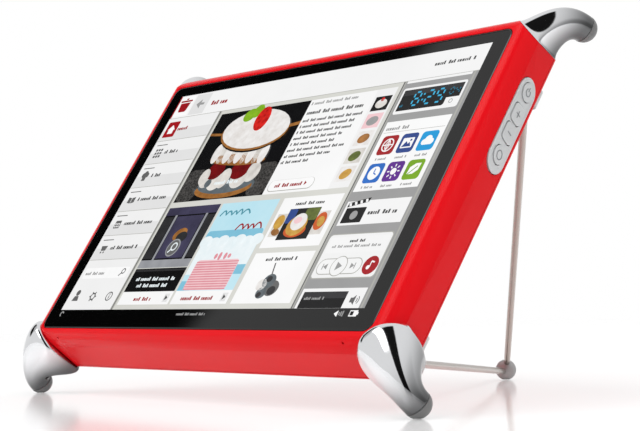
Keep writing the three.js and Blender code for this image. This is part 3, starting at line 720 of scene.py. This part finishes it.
class Page:
    """One area of the picture. Each shape is a thin plate on its own layer."""

    def __init__(self, name):
        self.name = name
        self.verts = []
        self.faces = []
        self.marks = []
        self.inks = []
        self.origin = (0, 0)

    def move_to(self, x, z):
        """Sets the point that the next shapes are placed from."""
        self.origin = (x, z)

    def shape(self, ink, points, layer):
        """A flat shape from pairs of X and Z, listed in order round its edge."""
        if ink not in self.inks:
            self.inks.append(ink)
        cx, cz = self.origin
        depths = (-(layer - 0.9) * LAYER, -layer * LAYER)
        append(self.verts, self.faces, skin([[(cx + x, y, cz + z) for x, z in points] for y in depths]))
        self.marks += [self.inks.index(ink)] * (len(points) + 2)

    def tile(self, ink, x0, x1, z0, z1, layer, round_by=0.0):
        if round_by:
            self.shape(ink, rounded(x0, x1, z0, z1, round_by, 5), layer)
        else:
            self.shape(ink, [(x0, z0), (x1, z0), (x1, z1), (x0, z1)], layer)

    def disc(self, ink, x, z, rx, layer, rz=None, turn=0.0, sides=28):
        rz = rx if rz is None else rz
        c, s = math.cos(turn), math.sin(turn)
        points = [(x + rx * a * c - rz * b * s, z + rx * a * s + rz * b * c) for a, b in spokes(sides)]
        self.shape(ink, points, layer)

    def line(self, ink, start, end, width, layer):
        self.shape(ink, stroke(start, end, width), layer)

    def ring(self, ink, x, z, r, width, layer, start=0, end=360, steps=16):
        """A ring or an arc of one, as short strokes."""
        inner, outer = r - width / 2, r + width / 2
        for i in range(steps):
            a, b = (math.radians(start + (end - start) * k / steps) for k in (i, i + 1))
            points = [polar(x, z, *edge) for edge in ((inner, a), (outer, a), (outer, b), (inner, b))]
            self.shape(ink, points, layer)

    def words(self, ink, x, z, length, tall, layer):
        """A run of plain blocks of uneven height that stands in for a line of print."""
        at = x
        step = 0
        while at < x + length - tall * 0.5:
            pick = (step * 7 + int(abs(x * 3 + z * 5))) % 11
            wide = tall * (0.34, 0.5, 0.42, 0.55, 0.3, 0.48)[pick % 6]
            high = tall * (0.6, 0.58, 0.86, 0.6, 0.58, 0.84, 0.58, 0.6, 0.82, 0.58, 0.58)[pick]
            if pick not in (4, 9) or step == 0:
                self.tile(ink, at, min(at + wide, x + length), z - tall / 2, z - tall / 2 + high, layer)
            at += wide + tall * 0.16
            step += 1

    def build(self):
        inks = [INK[name] for name in self.inks]
        item = piece(self.name, self.verts, self.faces, inks, marks=self.marks, smooth=20)


# The inks of the picture: colour, its deeper shade, scale of the shading, and whether it is in cells.
INK_FINISH = {
    "page": ("FCFCFC", "F2F2F2", 30),
    "header": ("F8F8F8", "EDEDED", 24),
    "row_light": ("F4F4F4", "ECECEC", 40),
    "row_dark": ("E7E7E7", "DEDEDE", 40),
    "stone": ("DCDCD6", "D0D0CA", 50),
    "edge": ("B4B4AE", "A4A49E", 50),
    "column": ("A8A8A8", "8E8E8E", 26),
    "slate": ("6E6E6E", "5A5A5A", 60),
    "print": ("565656", "3A3A3A", 300),
    "faint": ("A8A8A8", "8C8C8C", 300),
    "wine": ("A91420", "8A0D16", 200),
    "brick": ("B4151F", "93101A", 150),
    "night": ("101012", "020203", 300),
    "charcoal": ("3A3A3C", "1A1A1C", 120),
    "cyan": ("48C6EE", "2A9CCB", 200),
    "cyan_dim": ("2A7E9C", "1C5C74", 200),
    "sky": ("D4EEF5", "A9DCEC", 30),
    "sky_deep": ("8FCBE0", "6FB4D0", 60),
    "snow": ("F8FCFD", "DCEBF0", 200),
    "rose": ("E9A3AC", "D5808C", 160),
    "rose_pale": ("F6D5D8", "EBBCC2", 160),
    "teal": ("5B9FB0", "468898", 200),
    "sugar": ("FFFFFF", "CFC8C2", 260),
    "cream": ("FFFCF6", "A8A29C", 170),
    "pastry": ("C98A48", "4A2408", 240),
    "jam": ("8E0F14", "3C0508", 220),
    "berry": ("EE2A22", "9A0A0C", 420, True),
    "leaf": ("9ED02F", "5C8C12", 330),
    "glaze": ("7C868C", "30383C", 150),
    "crumbs": ("5A5856", "020202", 900, True),
    "dusk": ("54506E", "14131F", 60),
    "steel": ("AEB0B4", "7E8086", 90),
    "gold": ("EBC35A", "9C5A14", 260),
    "orange": ("E8722C", "A5300C", 260),
    "olive": ("7C8A3A", "2C3412", 260),
    "app_red": ("B3121D", "8E0B14", 90),
    "app_navy": ("2F4E96", "20377A", 90),
    "app_sky": ("17A7E6", "0F8CCB", 90),
    "app_blue": ("2B76D2", "1B58AE", 90),
    "app_violet": ("6A2C9B", "4E1C7C", 90),
    "app_green": ("86B81E", "66960F", 90),
    "white": ("FFFFFF", "F4F4F4", 200),
}
INK = {name: glowing("ink_" + name, *finish) for name, finish in INK_FINISH.items()}


def draw_header(page):
    page.tile("header", *SIDES, 50.8, 65.2, 1)
    page.tile("brick", -111.3, -110.4, 50.9, 65.1, 2)
    page.tile("white", -110, -97.9, 52, 64.6, 2, 0.8)
    page.shape("wine", [(-108.2, 60.2), (-107.4, 55.4), (-106.6, 54.4), (-101.4, 54.4), (-100.6, 55.4),
                        (-99.8, 60.2)], 3)
    page.tile("wine", -109, -99, 60.8, 61.9, 3, 0.5)
    page.tile("wine", -104.9, -103.1, 62.2, 63.2, 3, 0.4)
    page.tile("row_dark", -96.4, -83.6, 51.5, 64.4, 2)
    page.shape("faint", [(-93.2, 58), (-89.6, 60.9), (-89.6, 58.7), (-86.6, 58.7), (-86.6, 57.3),
                         (-89.6, 57.3), (-89.6, 55.1)], 3)
    page.words("wine", -79.6, 57.6, 13.6, 3.2, 2)
    page.words("print", 81, 58.4, 25.6, 2.3, 2)
    page.tile("edge", *SIDES, 50.5, 50.8, 1)


def draw_sidebar(page):
    page.tile("row_light", -111.3, -67.9, *CONTENT, 1)
    for ink, x0, x1 in (("edge", -67.9, -67.2), ("slate", -67.2, -66.6), ("edge", -66.6, -65.7)):
        page.tile(ink, x0, x1, *CONTENT, 1)
    high = 14.5
    for i, wide in enumerate((9.2, 12.2, 9.4, 25.4, 24.6, 24.4)):
        top = CONTENT[1] - high * i
        page.tile("row_dark", -110.6, -68.4, top - high + 0.3, top - high * 0.52, 2)
        page.tile("edge", -110.8, -68.2, top - high, top - high + 0.28, 2)
        middle = top - high / 2
        page.words("print" if i else "wine", -97.9, middle, wide, 2.5, 3)
        if i:
            page.tile("slate", -108.4, -99.2, middle + 4.4, middle + 4.9, 3)
        else:
            page.tile("brick", -108.7, -98.9, middle - 4.9, middle + 4.9, 3, 0.7)
        page.move_to(-103.8, middle - (0.5 if i else 0))
        sidebar_glyph(page, i)
        page.move_to(0, 0)
    page.tile("white", -108.6, -70.6, -47.2, -41.2, 3, 0.8)
    page.words("faint", -107.2, -44.2, 17.4, 2.2, 4)
    page.ring("slate", -74.4, -43.6, 1.3, 0.6, 4)
    page.line("slate", (-75.4, -44.6), (-77, -46.2), 0.7, 4)
    page.disc("slate", -103.9, -55.6, 1.7, 3, sides=16)
    page.shape("slate", [(-106.6, -60.2), (-101.2, -60.2), (-102.3, -57.4), (-105.5, -57.4)], 3)
    page.ring("slate", -89.3, -57.8, 1.9, 0.9, 3, steps=6)
    for i in range(6):
        page.disc("slate", *polar(-89.3, -57.8, 2.5, math.radians(60 * i)), 0.45, 3, sides=8)
    page.ring("slate", -75, -57.8, 2.3, 0.6, 3)
    page.tile("slate", -75.3, -74.7, -59.2, -57.4, 3)
    page.disc("slate", -75, -56.6, 0.4, 3, sides=8)


def sidebar_glyph(page, row):
    """One plain mark for each row: house, tiles, hat, book, calendar and basket."""
    ink = "slate" if row else "white"
    if row == 0:
        page.shape(ink, [(-3, -0.2), (0, 2.8), (3, -0.2), (2.1, -0.2), (2.1, -2.7), (-2.1, -2.7),
                         (-2.1, -0.2)], 4)
    elif row == 1:
        for i in range(9):
            x, z = 2.2 * (i % 3 - 1), 2 - 2 * (i // 3)
            page.tile(ink, x - 0.8, x + 0.8, z - 0.7, z + 0.7, 3, 0.3)
    elif row == 2:
        for x, z, r in ((-1.5, 0.9, 1.5), (1.5, 0.9, 1.5), (0, 1.8, 1.7)):
            page.disc(ink, x, z, r, 3, sides=16)
        page.tile(ink, -1.5, 1.5, -2.6, 0.6, 4)
    elif row == 3:
        for side in (-1, 1):
            page.shape(ink, [(0.25 * side, -1.9), (3 * side, -1.4), (3 * side, 1.9), (0.25 * side, 1.4)], 3)
    elif row == 4:
        page.tile(ink, -2.5, 2.5, -2.4, 2.2, 3, 0.5)
        for i in range(6):
            x, z = 1.5 * (i % 3 - 1), 0.2 - 1.5 * (i // 3)
            page.tile("row_light", x - 0.45, x + 0.45, z - 0.45, z + 0.45, 4)
    else:
        page.shape(ink, [(-2.8, 1.6), (2.6, 1.6), (1.8, -1.2), (-1.8, -1.2)], 3)
        for x in (-1.2, 1.2):
            page.disc(ink, x, -2.2, 0.6, 3, sides=10)


def draw_dessert(page):
    page.tile("night", -64.2, 5, -4.8, 48.3, 2)
    page.tile("crumbs", -64, -50, -4.6, 14, 3, 3.5)
    page.tile("crumbs", -9, 4.8, -4.6, 14, 3, 3.5)
    page.shape("pastry", [(-64.2, 36.4), (-50, 35), (-50, 33.6), (-64.2, 34.9)], 3)
    page.shape("pastry", [(-6, 33.4), (5, 34.6), (5, 36.6), (-6, 35.2)], 3)
    page.disc("glaze", -29, 2, 23.5, 3, 6.2)
    page.disc("pastry", -29, 1, 22, 4, 5.4)
    page.disc("glaze", -29, 3.4, 21, 5, 5.2)
    for x, z, r in ((-46, 6, 5.5), (-38, 5, 6.5), (-20, 5, 6.5), (-12, 7, 5.5)):
        page.disc("cream", x, z + 2, r, 6)
    page.tile("night", -47, -12, 10, 17, 7, 3)
    page.disc("jam", -42, 12.5, 6.4, 8, 5.6)
    page.disc("jam", -22.5, 11.5, 7.2, 8, 5.8)
    for x, z, r in ((-49, 9, 3.6), (-32, 7, 4.4), (-12, 10, 4)):
        page.disc("cream", x, z, r, 9, r * 1.3)
    page.disc("pastry", -29.5, 17.6, 22.5, 10, 3.4, -0.08)
    for i in range(9):
        page.disc("cream" if i % 2 else "sugar", -49 + 4.8 * i, 22.6 - 0.4 * i, 3, 11 - i % 2, 5.8)
    page.disc("night", -27.5, 32.4, 25, 12, 11, -0.07)
    page.disc("pastry", -27.5, 33.8, 26.4, 13, 11.4, -0.07)
    page.disc("sugar", -27.5, 35.2, 25.8, 14, 11.6, -0.07)
    page.disc("leaf", -38.2, 44.4, 4.6, 15, 3.8, 0.3)
    page.disc("leaf", -33, 46.2, 4.2, 16, 3.6, 0.8)
    page.disc("berry", -26.2, 41, 5.3, 17, 7.2, 0.05)
    page.disc("glaze", -42.6, 4.6, 2.4, 16)
    page.words("snow", -37, 4.6, 19, 2.4, 16)


def draw_story(page):
    page.tile("stone", -65.7, 66.2, *CONTENT, 1)
    page.tile("page", 5, 50.6, -4.8, 48.3, 2)
    page.tile("row_light", 50.6, 63.8, -4.8, 48.3, 2)
    page.words("faint", 6.6, 46.2, 33.5, 2, 3)
    page.words("print", 6.6, 40.9, 40, 2.5, 3)
    for i, length in enumerate((41, 38, 40, 34.5, 31, 40, 33, 20)):
        page.words("print", 6.6, 36.3 - 3.36 * i, length, 1.9, 3)
    page.tile("edge", 6.6, 38.4, -3.6, 2.6, 3, 2.9)
    page.tile("white", 6.9, 38.1, -3.2, 2.5, 4, 2.7)
    page.words("wine", 11.4, -0.3, 19.6, 2.4, 5)
    page.shape("wine", [(32, 0.8), (33.6, -0.4), (32, -1.6)], 5)
    backs = ("night", "rose_pale", "sugar", "cream", "sugar")
    foods = ("cream", "faint", "pastry", "olive", "gold")
    for i, (back, food) in enumerate(zip(backs, foods)):
        top = 44 - 9.4 * i
        page.tile(back, 52.3, 62.7, top - 7.9, top, 3)
        page.disc(food, 57.5, top - 4.1, 3.6, 4, 2.5, 0.1 * i)
    page.disc("berry", 57.5, 42.2, 1.1, 5, sides=12)
    page.disc("sugar", 57.5, 41, 3, 5, 1.2)


def draw_magazine(page):
    sides = (-64.2, -23.2)
    page.tile("night", *sides, -38, -8, 2)
    page.tile("dusk", *sides, -12.6, -8, 3)
    for ink, x0, x1 in (("dusk", -53.6, -32), ("charcoal", -64.2, -56.4), ("charcoal", -29.4, -23.2)):
        page.tile(ink, x0, x1, -37.2, -13.4, 3)
    for x in (-55.6, -31.2):
        page.tile("steel", x, x + 1.6, -38, -12.6, 4)
    page.disc("pastry", -43.4, -24, 5, 5, 3.4, 0.3)
    page.disc("charcoal", -41, -25.6, 4.2, 6, 3)
    page.disc("slate", -43, -31.6, 5, 7)
    page.ring("steel", -43, -31.6, 4.6, 0.6, 8, steps=24)
    page.ring("snow", -42.4, -31, 2, 0.7, 8)
    page.line("snow", (-43.9, -32.6), (-45.6, -34.2), 0.8, 8)
    page.tile("steel", *sides, -42.4, -38, 2)
    page.tile("night", *sides, -55.6, -42.8, 2)
    page.tile("charcoal", -63.6, -23.8, -44.4, -43.4, 3)
    page.words("snow", -59.2, -48.4, 31.6, 2.3, 3)
    page.words("snow", -56, -52, 25, 2.3, 3)
    page.tile("page", *sides, -62.6, -55.6, 2)
    page.words("wine", -52.4, -59.4, 14.8, 2.4, 3)
    footer_arrow(page, -26.8)


def footer_arrow(page, x):
    page.tile("row_dark", x - 1.9, x + 1.9, -61.4, -57, 3)
    page.shape("print", [(x - 0.9, -60.6), (x + 1.1, -59.2), (x - 0.9, -57.8)], 4)


# Loose waves where the picture has a hand-drawn heading: an end, a bend and an end in turn.
WAVES = {
    "teal": [(-18.6, -15.4), (-15.8, -9.8), (-14.2, -15), (-11.8, -10.6), (-9.8, -15.2), (-7.6, -10.8),
             (-6.4, -15), (-3.4, -9.6), (-2.4, -15.2), (0.6, -10), (3.6, -15)],
    "wine": [(-1, -23.8), (2.2, -17.6), (4.4, -23.6), (6.4, -18.4), (8.2, -23.6), (10.4, -18.6),
             (12, -23.4), (14.6, -17.2), (17.6, -23.6)],
}


def draw_collection(page):
    page.tile("sky", -21.4, 20.4, -55.6, -8, 2)
    page.tile("sky_deep", -21.2, 20.2, -28.4, -23.4, 3, 2.2)
    for i in range(7):
        x = -18.6 + 6.2 * i
        page.disc("snow", x, -29.4 - 0.9 * (i % 2), 4.4, 4, 3.2)
    page.tile("snow", -21.3, 20.3, -47, -30, 3)
    page.tile("sky_deep", -21.3, -12, -55.5, -50.5, 4)
    page.tile("sky_deep", 9, 20.3, -47.4, -42.4, 4)
    page.tile("rose_pale", -17.2, 14.2, -55.4, -39.4, 5, 2.2)
    for i in range(12):
        page.tile("rose", -17, 14, -55.2 + 1.3 * i, -54.5 + 1.3 * i, 6)
    for x, high in ((-5, 3), (-2, 4.4), (2, 3.6), (5, 2.4)):
        page.disc("rose", x, -37.6, 1.1, 6, high / 2)
    for ink, points in WAVES.items():
        for first in range(0, len(points) - 2, 2):
            start, bend, end = (Vector(point) for point in points[first:first + 3])
            last = start
            for i in range(1, 9):
                point = bezier(start, bend, end, i / 8)
                page.line(ink, last, point, 0.9, 7 + i % 2)
                last = point
    page.tile("page", -21.4, 20.4, -62.6, -55.6, 2)
    page.words("wine", -14.8, -59.4, 26, 2.4, 3)
    footer_arrow(page, 16.8)


def draw_ideas(page):
    page.tile("page", 23.6, 63.8, -34.3, -8, 2)
    page.words("print", 33.8, -11.4, 19.6, 2.1, 3)
    page.tile("cream", 25.4, 32.4, -28.6, -16.6, 3)
    page.disc("gold", 28.6, -21, 3.2, 4, 3.8)
    page.disc("pastry", 29.2, -26.2, 3, 4, 1.8, -0.3)
    page.tile("cream", 53, 60.8, -28.6, -16.6, 3)
    page.disc("orange", 56.6, -21.8, 3.7, 4, 4.6)
    page.disc("gold", 57.2, -22, 2.2, 5, 2.8, 0.5)
    page.tile("night", 32.3, 53.2, -30.6, -14.4, 5)
    page.tile("app_navy", 32.5, 38, -22, -14.6, 6, 1)
    page.tile("olive", 44, 53, -21, -14.6, 6, 1)
    page.disc("orange", 42.4, -26, 7.2, 7, 3.6)
    page.disc("gold", 42.2, -23.4, 6.6, 8, 5.4)
    page.disc("sugar", 42.6, -21.6, 5, 9, 4.4)
    page.disc("rose_pale", 41.6, -20.8, 2.6, 10, 1.8)
    page.tile("page", 23.6, 63.8, -62.6, -37, 2)
    page.words("print", 33, -40.2, 21, 2.1, 3)
    page.line("slate", (41, -42.4), (42.6, -49), 0.8, 3)
    for ink, x, z, r in (("glaze", 43, -51.6, 4.2), ("sugar", 38.8, -53.4, 3.4), ("slate", 46.8, -55.2, 4.6),
                         ("glaze", 41.2, -57.4, 3.4)):
        page.disc(ink, x, z, r, 4, r * 0.85)
    for x, z, r in ((42.6, -50.6, 1.8), (47.4, -56.4, 2.6), (40.2, -58.4, 1.6)):
        page.disc("charcoal", x, z, r, 5, r * 0.85)


DIGIT_BARS = {
    "8": "abcdefg",
    "2": "abged",
    "9": "abcdfg",
    "0": "abcdef",
    "4": "fgbc",
}


def clock_digit(page, ink, digit, wide, high, width):
    """A seven-bar clock digit with its lower left corner at the page's origin."""
    ends = {
        "a": ((0, high), (wide, high)),
        "b": ((wide, high), (wide, high / 2)),
        "c": ((wide, high / 2), (wide, 0)),
        "d": ((0, 0), (wide, 0)),
        "e": ((0, 0), (0, high / 2)),
        "f": ((0, high / 2), (0, high)),
        "g": ((0, high / 2), (wide, high / 2)),
    }
    for bar in DIGIT_BARS[digit]:
        start, end = (Vector(point) for point in ends[bar])
        trim = (end - start).normalized() * 0.12 * high
        page.line(ink, start + trim, end - trim, width, 5)


def draw_column(page):
    page.tile("column", 66.2, 111.3, *CONTENT, 1)
    for ink, x0, x1 in (("slate", 66.2, 67), ("edge", 67, 67.8), ("edge", 108.8, 109.8)):
        page.tile(ink, x0, x1, *CONTENT, 2)
    page.tile("header", 68.6, 107.8, 49.2, 50.5, 2)
    page.tile("header", 68.8, 107.6, 32.4, 46.4, 2, 1.2)
    page.shape("night", [(70, 34), (98, 34), (98.8, 34.8), (98.8, 38), (106.4, 38), (106.4, 45.2),
                         (70, 45.2)], 3)
    page.tile("charcoal", 70.2, 106.2, 42, 45, 4)
    for z in (38.2, 41.2):
        page.tile("cyan", 83.6, 84.5, z, z + 0.9, 5)
    for digit, x in (("8", 78.2), ("2", 86), ("9", 92.2)):
        page.move_to(x, 36.2)
        clock_digit(page, "cyan", digit, 3.8, 7, 0.85)
    for digit, x in (("0", 99.6), ("4", 103)):
        page.move_to(x, 39.6)
        clock_digit(page, "cyan_dim", digit, 2.1, 3.4, 0.5)
    page.move_to(0, 0)
    page.words("cyan_dim", 71.2, 36.8, 3.4, 1.6, 5)
    page.ring("faint", 102.6, 35.8, 1, 0.35, 4, steps=10)


def draw_favourites(page):
    page.tile("page", 68.6, 107.8, -7.8, 28.4, 2)
    page.words("faint", 70.2, 24.8, 14.6, 2.2, 3)
    page.tile("edge", 69.6, 106.8, 22.4, 22.6, 3)
    for i, color in enumerate(("red", "navy", "sky", "blue", "violet", "green")):
        x = 76.3 + 12.05 * (i % 3)
        z = 15.7 - 14.5 * (i // 3)
        page.tile("app_" + color, x - 5, x + 5, z - 5, z + 5, 3, 1.7)
        page.words("faint", x - 3.6, z - 7, 7.2, 1.5, 3)
        page.move_to(x, z)
        app_glyph(page, i)
        page.move_to(0, 0)


def app_glyph(page, which):
    """Plain marks: globe, picture, cloud, clock, sun and leaf."""
    if which == 0:
        page.ring("white", 0, 0, 3.2, 0.6, 4, steps=24)
        page.line("white", (-3, 0), (3, 0), 0.5, 5)
        page.line("white", (0, -3), (0, 3), 0.5, 6)
        for x, start in ((2, 130), (-2, -50)):
            page.ring("white", x, 0, 3.2, 0.45, 7, start, start + 100, 8)
    elif which == 1:
        page.tile("white", -3.4, 3.4, -2.6, 2.6, 4, 0.5)
        page.shape("app_navy", [(-2.8, -2), (-0.8, 0.9), (0.5, -0.6), (1.4, 0.3), (2.8, -2)], 5)
        page.disc("app_navy", 1.7, 1.3, 0.6, 5, sides=12)
    elif which == 2:
        for x, z, r in ((-1.9, -0.6, 1.5), (0.2, 0.6, 2.1), (2.1, -0.5, 1.6)):
            page.disc("white", x, z, r, 4)
        page.tile("white", -2.2, 2.4, -2.1, -0.2, 5)
    elif which == 3:
        page.disc("white", 0, 0, 3.4, 4)
        page.line("app_blue", (0, 0), (0, 2.3), 0.6, 5)
        page.line("app_blue", (0, 0), (1.7, -0.9), 0.6, 6)
    elif which == 4:
        page.disc("white", 0, 0, 1.7, 4)
        for i in range(8):
            angle = math.radians(45 * i)
            page.line("white", polar(0, 0, 2.4, angle), polar(0, 0, 3.7, angle), 0.6, 4)
    else:
        page.shape("white", [(-3, -2.4), (-2.6, 1.2), (0.2, 3), (3.2, 3), (2.8, -0.4), (0.4, -2.2)], 4)
        page.line("app_green", (-2.8, -2.6), (1.8, 1.6), 0.5, 5)


def draw_players(page):
    page.tile("header", 69, 107.8, -24.9, -12.8, 2)
    page.tile("night", 70.4, 82.9, -23.8, -16.2, 3, 0.4)
    page.shape("night", [(70, -15.8), (82.4, -13.6), (82.8, -11.4), (70.4, -13.6)], 3)
    for i in range(4):
        x, z = 71.4 + 3.1 * i, 0.54 * i - 15.4
        page.shape("header", [(x, z), (x + 1.3, z + 0.2), (x + 0.5, z + 1.8), (x - 0.8, z + 1.6)], 4)
    page.disc("faint", 76.8, -20, 2.2, 4)
    page.words("print", 85.2, -18.9, 18.4, 2.5, 3)
    page.tile("edge", 68.6, 107.9, -51.2, -29.2, 2, 2)
    page.tile("row_light", 69.1, 107.4, -50.7, -29.7, 3, 1.8)
    page.tile("header", 70.4, 106.2, -38.6, -31, 4, 0.5)
    page.words("print", 83, -32.9, 9.8, 1.7, 5)
    page.words("faint", 73.4, -35.4, 30, 1.6, 5)
    page.tile("edge", 70.2, 97.4, -49.2, -41.4, 4, 3.8)
    page.tile("header", 70.6, 97, -48.8, -41.8, 5, 3.4)
    page.disc("edge", 83.6, -45.3, 4.9, 6)
    page.disc("header", 83.6, -45.3, 4.5, 7)
    page.shape("faint", [(82.2, -47.4), (85.8, -45.3), (82.2, -43.2)], 8)
    for x, side in ((75.2, -1), (92, 1)):
        page.shape("faint", [(x - 1.2 * side, -46.7), (x + 1.2 * side, -45.3), (x - 1.2 * side, -43.9)], 6)
        page.tile("faint", *sorted((x + 1.2 * side, x + 1.7 * side)), -46.7, -43.9, 6)
    page.disc("brick", 102.7, -45.3, 4.4, 4, sides=36)
    page.disc("white", 101.7, -46.3, 1, 5, sides=14)
    page.line("white", (102.6, -46.3), (102.6, -43.4), 0.5, 6)
    page.line("white", (102.6, -43.4), (104.4, -43.9), 0.7, 5)
    page.tile("header", 68.6, 107.8, -65.2, -55.8, 2)
    page.tile("night", 70.2, 97.4, -65.2, -57.4, 3)
    page.tile("charcoal", 70.4, 97.2, -60.6, -57.6, 4)
    page.words("faint", 72, -60.4, 12.6, 1.6, 5)
    page.shape("slate", [(100.6, -62.6), (102, -62.6), (103.4, -63.8), (103.4, -59.2), (102, -60.4),
                         (100.6, -60.4)], 3)
    for i in range(2):
        page.ring("slate", 103.4, -61.5, 1.3 + 1.1 * i, 0.4, 3, -45, 45, 6)


def draw_status(page):
    page.words("faint", -12, -67.6, 21.8, 1.6, 1)
    page.ring("faint", -108.6, -67.6, 1.2, 0.7, 1, 20, 250, 10)
    page.shape("white", [(94.8, -67.7), (97, -66.2), (97, -69.2)], 1)
    for i in range(3):
        page.tile("faint", 97.6 + 1.1 * i, 98.3 + 1.1 * i, -68.4 - 0.3 * i, -67 + 0.3 * i, 1)
    page.tile("white", 104, 108.6, -69, -66.2, 1)
    page.tile("night", 104.5, 106.4, -68.5, -66.7, 2)
    page.tile("white", 108.6, 109.2, -68.2, -67, 1)


PAGES = {
    "header": draw_header,
    "sidebar": draw_sidebar,
    "dessert": draw_dessert,
    "story": draw_story,
    "magazine": draw_magazine,
    "collection": draw_collection,
    "ideas": draw_ideas,
    "column": draw_column,
    "favourites": draw_favourites,
    "players": draw_players,
    "status": draw_status,
}
for page_name, draw in PAGES.items():
    page = Page("screen_" + page_name)
    draw(page)
    page.build()


# ---- marks on the keys ----

MARK_WIDTH = 0.4
MARK_DEPTHS = (-0.25, 0.12)       # how far a mark goes into its key and stands out of it


def key_strokes(key_z, strokes):
    """Raised strokes on the face of a key: each is a pair of points across and up, in millimetres."""
    verts, faces = [], []
    for start, end in strokes:
        corners = stroke(start, end, MARK_WIDTH)
        rings = [[key_face(key_z, *corner, out) for corner in corners] for out in MARK_DEPTHS]
        append(verts, faces, skin(rings))
    return verts, faces


def arc(radius, start, end, steps=14):
    """An arc as short strokes."""
    points = [polar(0, 0, radius, math.radians(start + (end - start) * i / steps)) for i in range(steps + 1)]
    return list(zip(points, points[1:]))


def key_face(key_z, across, up, out):
    """A point on a key's face, which lies parallel to the tapered side wall."""
    slope = math.atan(SIDE_TAPER)
    wall_x = CREASE["half"] - SIDE_TAPER * (STRIP_Y - CREASE["y"])
    out += KEY_PROUD
    return (wall_x + out * math.cos(slope) - across * math.sin(slope),
            STRIP_Y + out * math.sin(slope) + across * math.cos(slope), STRIP_Z + key_z + up)


KEY_MARKS = {
    "power": (16.6, arc(1.6, 125, 415) + [((0, 0.5), (0, 2.3))]),
    "plus": (5.6, [((-1.6, 0), (1.6, 0)), ((0, -1.6), (0, 1.6))]),
    "minus": (-3.9, [((-1.6, 0), (1.6, 0))]),
    "home": (-14.6, arc(1.9, 0, 360, 24)),
}
for key_name, (height, strokes) in KEY_MARKS.items():
    verts, faces = key_strokes(height, strokes)
    key_mark = piece("mark_" + key_name, verts, faces, [GLYPH], body=key_name + "_key", smooth=20)


# ---- glass ----

def make_glass():
    """The polished black front, its rim rounded over."""
    rings = []
    for inset, y in ((0.0, GLASS["thick"]), (0.0, 0.32), (0.1, 0.1), (0.32, 0.0), (0.8, 0.0)):
        half, radius = GLASS["half"] - inset, GLASS["corner"] - inset
        outline = rounded(-half, half, GLASS["bottom"] + inset, GLASS["top"] - inset, radius, 12)
        rings.append([(x, y, z) for x, z in outline])
    glass = piece("front_glass", *skin(rings), [GLASS_BLACK], smooth=40)
    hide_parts("touch_glass")


make_glass()
